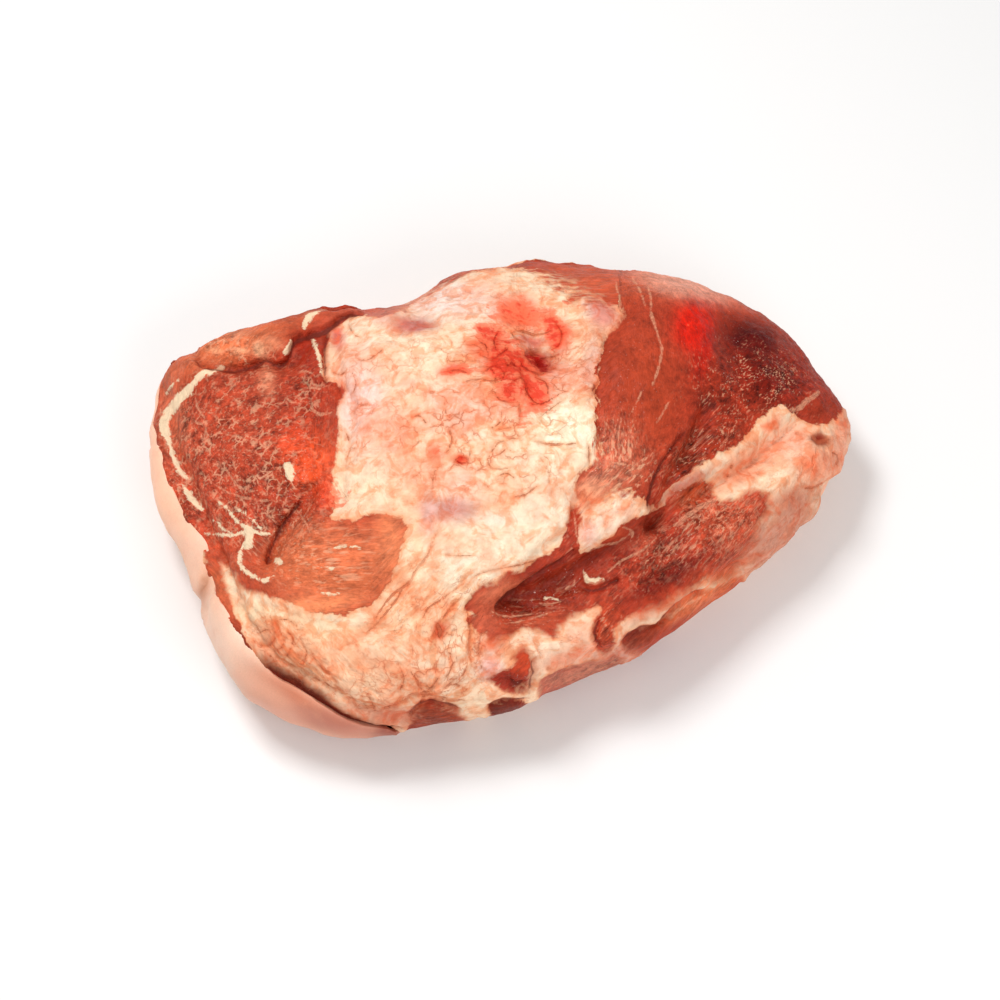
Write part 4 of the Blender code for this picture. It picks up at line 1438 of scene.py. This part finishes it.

# %% [markdown]
# Fat is its wash with salmon valleys between pale gathers, and with blushes of salmon and rose that no
# two lumps have alike. The blushes are laid on by multiplying, as a stain in the fat would darken it;
# the valleys are multiplied too, darker where the gathers dip.

# %% The fat
VALLEY_TONE = (0.92, 0.62, 0.46, 1)
BLUSH_TONE = (0.95, 0.60, 0.46, 1)
ROSE_TONE = (0.97, 0.74, 0.66, 1)

fat_wrinkled = tree.paint("wrinkled")
valleys = tree.plus(tree.times(gathered, 0.45), combed(15 * MM, 5.0 * MM, 2.0, 2.7))
valleys = tree.times(tree.between(valleys, 0.75, 0.58), tree.between(fat_wrinkled, 0.0, 1.0, 0.35, 0.85))
fat_colour = tree.stain(valleys, tree.paint("fat_colour", "Color"), VALLEY_TONE)
blush = tree.between(tree.speckle(110.0, 4.0, 0.65, 0.8), 0.45, 0.63, 0.0, 0.85)
fat_colour = tree.stain(blush, fat_colour, BLUSH_TONE)
rose = tree.between(tree.speckle(38.0, 3.0, 0.6, 0.5), 0.46, 0.62, 0.0, 0.9)
fat_colour = tree.stain(rose, fat_colour, ROSE_TONE)
cream = tree.between(tree.speckle(62.0, 3.0, 0.6, 0.6), 0.52, 0.66, 0.98, 1.06)
fat_colour = tree.lit(fat_colour, tree.times(cream, tree.between(middling, 0.25, 0.75, 0.86, 1.07)))
print("with the fat", len(tree.nodes))

# %% [markdown]
# Hairlines are cracks in the fat's skin. On the cap they follow the swirled net, broken up by noise, and
# stain the fat beside them. In wrinkled fat they run along the gathers, where a combed noise crosses its
# middle value.

# %% Hairlines in the fat
HAIRLINE_TONE = (0.66, 0.15, 0.07, 1)
BESIDE_TONE = (0.95, 0.66, 0.50, 1)
FOLD_LINE_WIDTH = 0.016

fold_lines = tree.off_by(combed(7 * MM, 3.2 * MM, 2.0, 1.9), 0.5)
fold_lines = tree.between(fold_lines, FOLD_LINE_WIDTH, 0.2 * FOLD_LINE_WIDTH)
fold_lines = tree.times(fold_lines, tree.between(tree.speckle(130.0, 2.0), 0.46, 0.56), fat_wrinkled)
net_edge = tree.cell_edge(swirled, 120.0)
hairlines = tree.times(
    tree.between(net_edge, 0.050, 0.006),
    tree.between(tree.speckle(90.0, 2.0), 0.46, 0.60),
    tree.paint("crackled"),
)
crackle = tree.largest(fold_lines, hairlines)
beside = tree.times(tree.between(net_edge, 0.20, 0.02), tree.paint("crackled"), 0.45)
fat_colour = tree.stain(beside, fat_colour, BESIDE_TONE)
fat_colour = tree.blend(tree.times(crackle, 0.62), fat_colour, HAIRLINE_TONE)
print("with hairlines", len(tree.nodes))

# %% [markdown]
# The mesh carries how deep in the lean each point lies, and a threshold on that number draws the border.
# Noise added to the number makes the border ragged, fibres added to it comb lean and fat into each
# other, and a wider threshold lets them fade. Fat near the border is thin, so the lean shines through
# it. Seams go on top.

# %% Where lean and fat meet, and the seams
THIN_FAT_TONE = (0.96, 0.62, 0.44, 1)
SEAM_TONE = (0.96, 0.76, 0.51)

ragged = tree.between(middling, 0.25, 0.75, -0.8, 0.8)
comb_depth = tree.between(tree.paint("combed"), 0.0, 1.4, 1.6, 22.0)
ragged_depth = tree.plus(tree.paint("muscle"), ragged)
border = tree.plus(ragged_depth, tree.times(tree.less(gathered, 0.5), comb_depth))
half_width = tree.plus(tree.times(tree.paint("soft_edged"), 2.2), 0.60)
is_lean = tree.between(border, tree.times(half_width, -1.0), half_width)
fat_colour = tree.stain(tree.between(ragged_depth, -2.8, -0.2, 0.0, 0.55), fat_colour, THIN_FAT_TONE)
colour = tree.blend(is_lean, fat_colour, lean_colour)
to_seam = tree.plus(
    tree.paint("seam"),
    tree.between(middling, 0.3, 0.7, -0.60, 0.75),
    tree.between(fibres, 0.3, 0.7, -0.30, 0.30),
)
seam_colour = tree.lit(SEAM_TONE, tree.between(middling, 0.3, 0.7, 0.86, 1.0))
colour = tree.blend(tree.times(tree.between(to_seam, 0.55, -0.45), 0.86), colour, seam_colour)
print("with the border and the seams", len(tree.nodes))

# %% [markdown]
# Blood soaks into fat along its gathers and leaves their crests pale. It goes on in two steps, orange
# red where there is little of it and full red where there is more, and a third for what has pooled in
# the socket's hole.

# %% Blood in the fat
THIN_BLOOD = (0.86, 0.17, 0.08, 1)
FULL_BLOOD = (0.72, 0.040, 0.016, 1)
POOLED_BLOOD = (0.34, 0.010, 0.006, 1)

uneven = tree.plus(tree.times(gathered, 1.6), tree.times(middling, 1.2))
soaked = tree.plus(tree.paint("bloody"), tree.less(uneven, 1.46))
colour = tree.blend(tree.between(soaked, 0.30, 0.62, 0.0, 0.80), colour, THIN_BLOOD)
colour = tree.blend(tree.between(soaked, 0.66, 1.05, 0.0, 0.85), colour, FULL_BLOOD)
pooled = tree.plus(tree.paint("deep_blood"), tree.between(gathered, 0.3, 0.7, -0.3, 0.3))
colour = tree.blend(tree.between(pooled, 0.30, 0.80, 0.0, 0.9), colour, POOLED_BLOOD)
print("with blood", len(tree.nodes))

# %% [markdown]
# Creases are brown, and red where there is blood round them, and the fat beside them gets a warm
# painted shade. Little light gets into a deep gap, so it is painted as shade: nearly black at its bottom,
# and darker on what lies beside it.

# %% Creases and gaps
DRY_CREASE = (0.56, 0.17, 0.08, 1)
BLOODY_CREASE = (0.42, 0.025, 0.012, 1)
BY_CREASE_SHADE = (0.92, 0.62, 0.48, 1)
BY_GAP_SHADE = (0.70, 0.40, 0.32, 1)
GAP_BOTTOM_SHADE = (0.13, 0.018, 0.010, 1)

to_crease = tree.plus(tree.paint("crease"), tree.times(ragged, 0.22))
crease_colour = tree.blend(tree.between(tree.paint("bloody"), 0.2, 0.8), DRY_CREASE, BLOODY_CREASE)
in_crease = tree.times(tree.between(to_crease, 0.18, -0.30), tree.between(blotches, 0.36, 0.60, 0.25, 0.75))
colour = tree.blend(in_crease, colour, crease_colour)
# Painted warm shade beside each crease
colour = tree.stain(tree.between(to_crease, 1.6, 0.0, 0.0, 0.6), colour, BY_CREASE_SHADE)
to_gap = tree.plus(tree.paint("gap"), tree.times(ragged, 0.3))
# Painted shade in and beside the deep gaps
colour = tree.stain(tree.between(to_gap, 2.4, 0.0, 0.0, 0.7), colour, BY_GAP_SHADE)
colour = tree.blend(tree.times(tree.between(to_gap, 0.5, -0.6), 0.80), colour, GAP_BOTTOM_SHADE)
print("with creases and gaps", len(tree.nodes))

# %% [markdown]
# Raw meat is moist but not glossy all over. Wet places get a lower roughness, and small pale glints are
# painted into their colour as painted highlights. The same noises that colour the meat also raise it by a
# bump, so that colour and form agree.

# %% Sheen, painted glints and bump
PAINTED_GLINT_TONE = (1.0, 0.74, 0.64, 1)
GLOSS = 0.12

wet = tree.paint("wet")
# Painted highlights: small pale glints in the wet places
painted_glints = tree.between(tree.speckle(1100.0, 1.0), 0.68, 0.74)
painted_glints = tree.times(painted_glints, tree.between(tree.speckle(210.0, 1.0), 0.50, 0.60), wet, 0.55)
colour = tree.blend(painted_glints, colour, PAINTED_GLINT_TONE)
height = tree.plus(
    tree.times(gathered, tree.between(fat_wrinkled, 0.0, 1.0, 1.2, 2.0)),
    tree.times(fibres, is_lean, 0.7),
    tree.times(middling, 0.9),
    tree.times(grain, 0.2),
)
height = tree.less(height, tree.times(crackle, 0.35), tree.times(in_crease, 0.8))
bump = tree.add("ShaderNodeBump", {"Height": height, "Strength": 0.9, "Distance": 0.8 * MM})
print("blended", len(tree.nodes), "nodes into one colour")
tree.fill(tree.shader, {
    "Base Color": colour,
    "Roughness": tree.less(tree.between(grain, 0.3, 0.7, 0.44, 0.58), tree.times(wet, 0.20)),
    "Normal": bump.outputs["Normal"],
    "Specular IOR Level": GLOSS,
})
meat.data.materials.clear()
meat.data.materials.append(tree.material)
print("the meat's material has", len(tree.nodes), "nodes")

# %% [markdown]
# The rind is a piece of its own: a bowl of skin three millimetres thick that the joint lies in. It
# starts as a grid, whose columns go round the joint and whose rows go from the rim to the middle of the
# underside. The rays that found the rim have found the way down as well, and each column is spread
# evenly over what they found.

# %% Lay the rind over the solid
RIND_ROWS = 70
SEWN_WITHIN = 0.01 * MM


def rind_column(path, rim):
    """Places down one path, evenly spaced from the rim to the middle of the underside."""
    last = np.flatnonzero(path[:, 2] > rim)[-1]
    share = (path[last, 2] - rim) / (path[last, 2] - path[last + 1, 2])
    start = path[last] + share * (path[last + 1] - path[last])
    path = np.vstack([start, path[last + 1:]])
    run = np.concatenate([[0], np.cumsum(np.linalg.norm(np.diff(path, axis=0), axis=1))])
    even = np.linspace(0, run[-1], RIND_ROWS + 1)
    return np.column_stack([np.interp(even, run, path[:, axis]) for axis in range(3)])


columns = [rind_column(path, rim) for path, rim in zip(paths, rims)]
columns.append(columns[0])
sheet = bmesh.new()
bmesh.ops.create_grid(sheet, x_segments=RIND_COLUMNS, y_segments=RIND_ROWS, size=1)
for vertex in sheet.verts:
    column = round((vertex.co.x + 1) / 2 * RIND_COLUMNS)
    row = round((1 - vertex.co.y) / 2 * RIND_ROWS)
    vertex.co = columns[column][row]
bmesh.ops.remove_doubles(sheet, verts=sheet.verts, dist=SEWN_WITHIN)
bmesh.ops.recalc_face_normals(sheet, faces=sheet.faces)
sheet.normal_update()
if sum(face.normal.z * face.calc_area() for face in sheet.faces) > 0:
    bmesh.ops.reverse_faces(sheet, faces=sheet.faces)
rind_mesh = bpy.data.meshes.new("rind")
sheet.to_mesh(rind_mesh)
sheet.free()
rind = bpy.data.objects.new("rind", rind_mesh)
bpy.context.scene.collection.objects.link(rind)
print("the rind has", len(rind.data.polygons), "faces")

# %% [markdown]
# Skin isn't flat. It stands a little proud of the solid, it is lumpy over the fat below it, and at the
# near left corner it has a fold. Solidify then gives it its thickness, inwards, and a small Bevel rounds
# its cut edge.

# %% Thicken the rind and give it relief
RIND_PROUD = 0.9 * MM
RIM_PROUD_SHARE = 0.4
RIND_LUMPS = 0.5 * MM
RIND_LUMP_SIZE = 22 * MM
RIND_THICKNESS = 3.0 * MM
RIND_EDGE = 0.7 * MM
EDGE_STEPS = 2
SHARP_FROM = math.radians(50)
FOLD_CUT = 2.0 * MM
FOLD_REACH = 2.2
RIND_FOLD = {"fold": [(1.2, [(213, 560), (208, 575), (203, 590), (199, 604), (198, 622)])]}
# The skin's colour, with painted shade under the fat's roll, along the near lower side and in the fold, and
# painted light on the low left
RIND_TONE = (252, 205, 178)
RIND_WASHES = {
    "upper": (165, 500, 22, 60, 20, (253, 203, 174), 0.9),
    "edge_light": (196, 548, 20, 12, -40, (252, 210, 186), 0.8),
    # Painted shade in the fold
    "fold": (203, 592, 5, 24, -12, (214, 146, 110), 1.0),
    # Painted light, where the rind turns away from the key lamp
    "low_left": (220, 646, 34, 46, 40, (254, 218, 196), 1.0),
    # Painted shade from here down: under the fat's roll and along the near lower side
    "roll_shadow_on_rind": (300, 700, 60, 12, -34, (206, 128, 98), 1.0),
    "near_low": (330, 722, 70, 13, -14, (202, 126, 103), 1.0),
    "shade_near_middle": (268, 700, 40, 16, -40, (236, 172, 146), 0.8),
    "roll_shadow_end_on_rind": (390, 731, 20, 8, 0, (158, 76, 56), 1.0),
}

places = points_of(rind.data)
inner = smooth_share(below_rim(places), 0, RIND_THICKNESS)
lumps = RIND_PROUD * (RIM_PROUD_SHARE + (1 - RIM_PROUD_SHARE) * inner)
lumps += RIND_LUMPS * ruffle(places, RIND_LUMP_SIZE, 4.4) * inner
lumps -= FOLD_CUT * groove(nearest_line(picture_place(places), RIND_FOLD), FOLD_REACH)
places = places + normals_of(rind.data) * lumps[:, None]
places[:, 2] = np.maximum(places[:, 2], 0)
rind.data.vertices.foreach_set("co", places.ravel())
rind.data.update()
store_colour(rind.data, "skin_colour", washed(picture_place(places), RIND_TONE, RIND_WASHES))
wall = rind.modifiers.new("wall", "SOLIDIFY")
wall.thickness = RIND_THICKNESS
wall.offset = -1
edge = rind.modifiers.new("edge", "BEVEL")
edge.width = RIND_EDGE
edge.segments = EDGE_STEPS
edge.limit_method = "ANGLE"
edge.angle_limit = SHARP_FROM
applied(rind)
rind.data.shade_smooth()
print("thickened to", len(rind.data.polygons), "faces")

# %% [markdown]
# Pork skin is matt, pale and slightly pink, with pores so fine that they only dull the light. A little
# of the light goes into it and comes out again, which Subsurface does, and that takes the hardness from
# its shadows.

# %% The rind's material
PORK_SKIN_FLUSH = (0.80, 0.36, 0.22, 1)

tree = Tree("pork_rind")
mottle = tree.speckle(90.0, 4.0, 0.6)
pores = tree.speckle(1500.0, 2.0)
colour = tree.paint("skin_colour", "Color")
colour = tree.lit(colour, tree.between(tree.speckle(16.0, 3.0), 0.35, 0.65, 0.94, 1.03))
colour = tree.blend(tree.between(mottle, 0.45, 0.75, 0.0, 0.25), colour, PORK_SKIN_FLUSH)
colour = tree.lit(colour, tree.between(pores, 0.2, 0.8, 0.95, 1.04))
height = tree.plus(tree.times(pores, 0.4), mottle)
bump = tree.add("ShaderNodeBump", {"Height": height, "Strength": 0.2, "Distance": 0.3 * MM})
tree.fill(tree.shader, {
    "Base Color": colour,
    "Roughness": tree.between(mottle, 0.3, 0.7, 0.46, 0.58),
    "Normal": bump.outputs["Normal"],
    "Subsurface Weight": 0.15,
    "Subsurface Radius": (1.0, 0.45, 0.3),
    "Subsurface Scale": 2.5 * MM,
})
rind.data.materials.clear()
rind.data.materials.append(tree.material)
print("the rind's material has", len(tree.nodes), "nodes")

# %% [markdown]
# Both pieces move with the joint as one body, and together they stand for the plain solid.

# %% Tie the pieces to the frame
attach(meat, "root")
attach(rind, "root")
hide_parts("pork_shoulder")
print("meat and rind ride on the root body")

# %% [markdown]
# A pale floor, a bright even sky, a soft lamp high at the far left and a weaker, larger one at the near
# right stand in for a photographer's light tent.

# %% Floor and light
FLOOR_SIZE = 6.0
FLOOR_GREY = (0.86, 0.86, 0.86, 1)
FLOOR_ROUGHNESS = 0.8
SKY_WHITE = (1.0, 0.98, 0.96, 1)
SKY_STRENGTH = 0.52
LAMP_AIM = Vector((0, 0, 40 * MM))

floor_form = bmesh.new()
bmesh.ops.create_grid(floor_form, x_segments=1, y_segments=1, size=FLOOR_SIZE / 2)
floor_mesh = bpy.data.meshes.new("floor")
floor_form.to_mesh(floor_mesh)
floor_form.free()
floor = bpy.data.objects.new("floor", floor_mesh)
bpy.context.scene.collection.objects.link(floor)
floor_material = bpy.data.materials.new("floor")
floor_material.use_nodes = True
floor_inputs = floor_material.node_tree.nodes["Principled BSDF"].inputs
floor_inputs["Base Color"].default_value = FLOOR_GREY
floor_inputs["Roughness"].default_value = FLOOR_ROUGHNESS
floor.data.materials.append(floor_material)

world = bpy.data.worlds.new("studio")
world.use_nodes = True
sky_inputs = world.node_tree.nodes["Background"].inputs
sky_inputs["Color"].default_value = SKY_WHITE
sky_inputs["Strength"].default_value = SKY_STRENGTH
bpy.context.scene.world = world


def soft_lamp(name, place, size, watts):
    """A square lamp of this size in metres that shines on the joint."""
    data = bpy.data.lights.new(name, "AREA")
    data.size = size
    data.energy = watts
    lamp = bpy.data.objects.new(name, data)
    bpy.context.scene.collection.objects.link(lamp)
    lamp.location = place
    lamp.rotation_euler = (LAMP_AIM - Vector(place)).to_track_quat("-Z", "Y").to_euler()


soft_lamp("key", (-0.45, 0.35, 1.25), 0.40, 11)
soft_lamp("fill", (0.6, -0.9, 0.8), 0.8, 7)
bpy.context.scene.view_settings.view_transform = "Standard"
print("lit by", [light.name for light in bpy.data.lights])
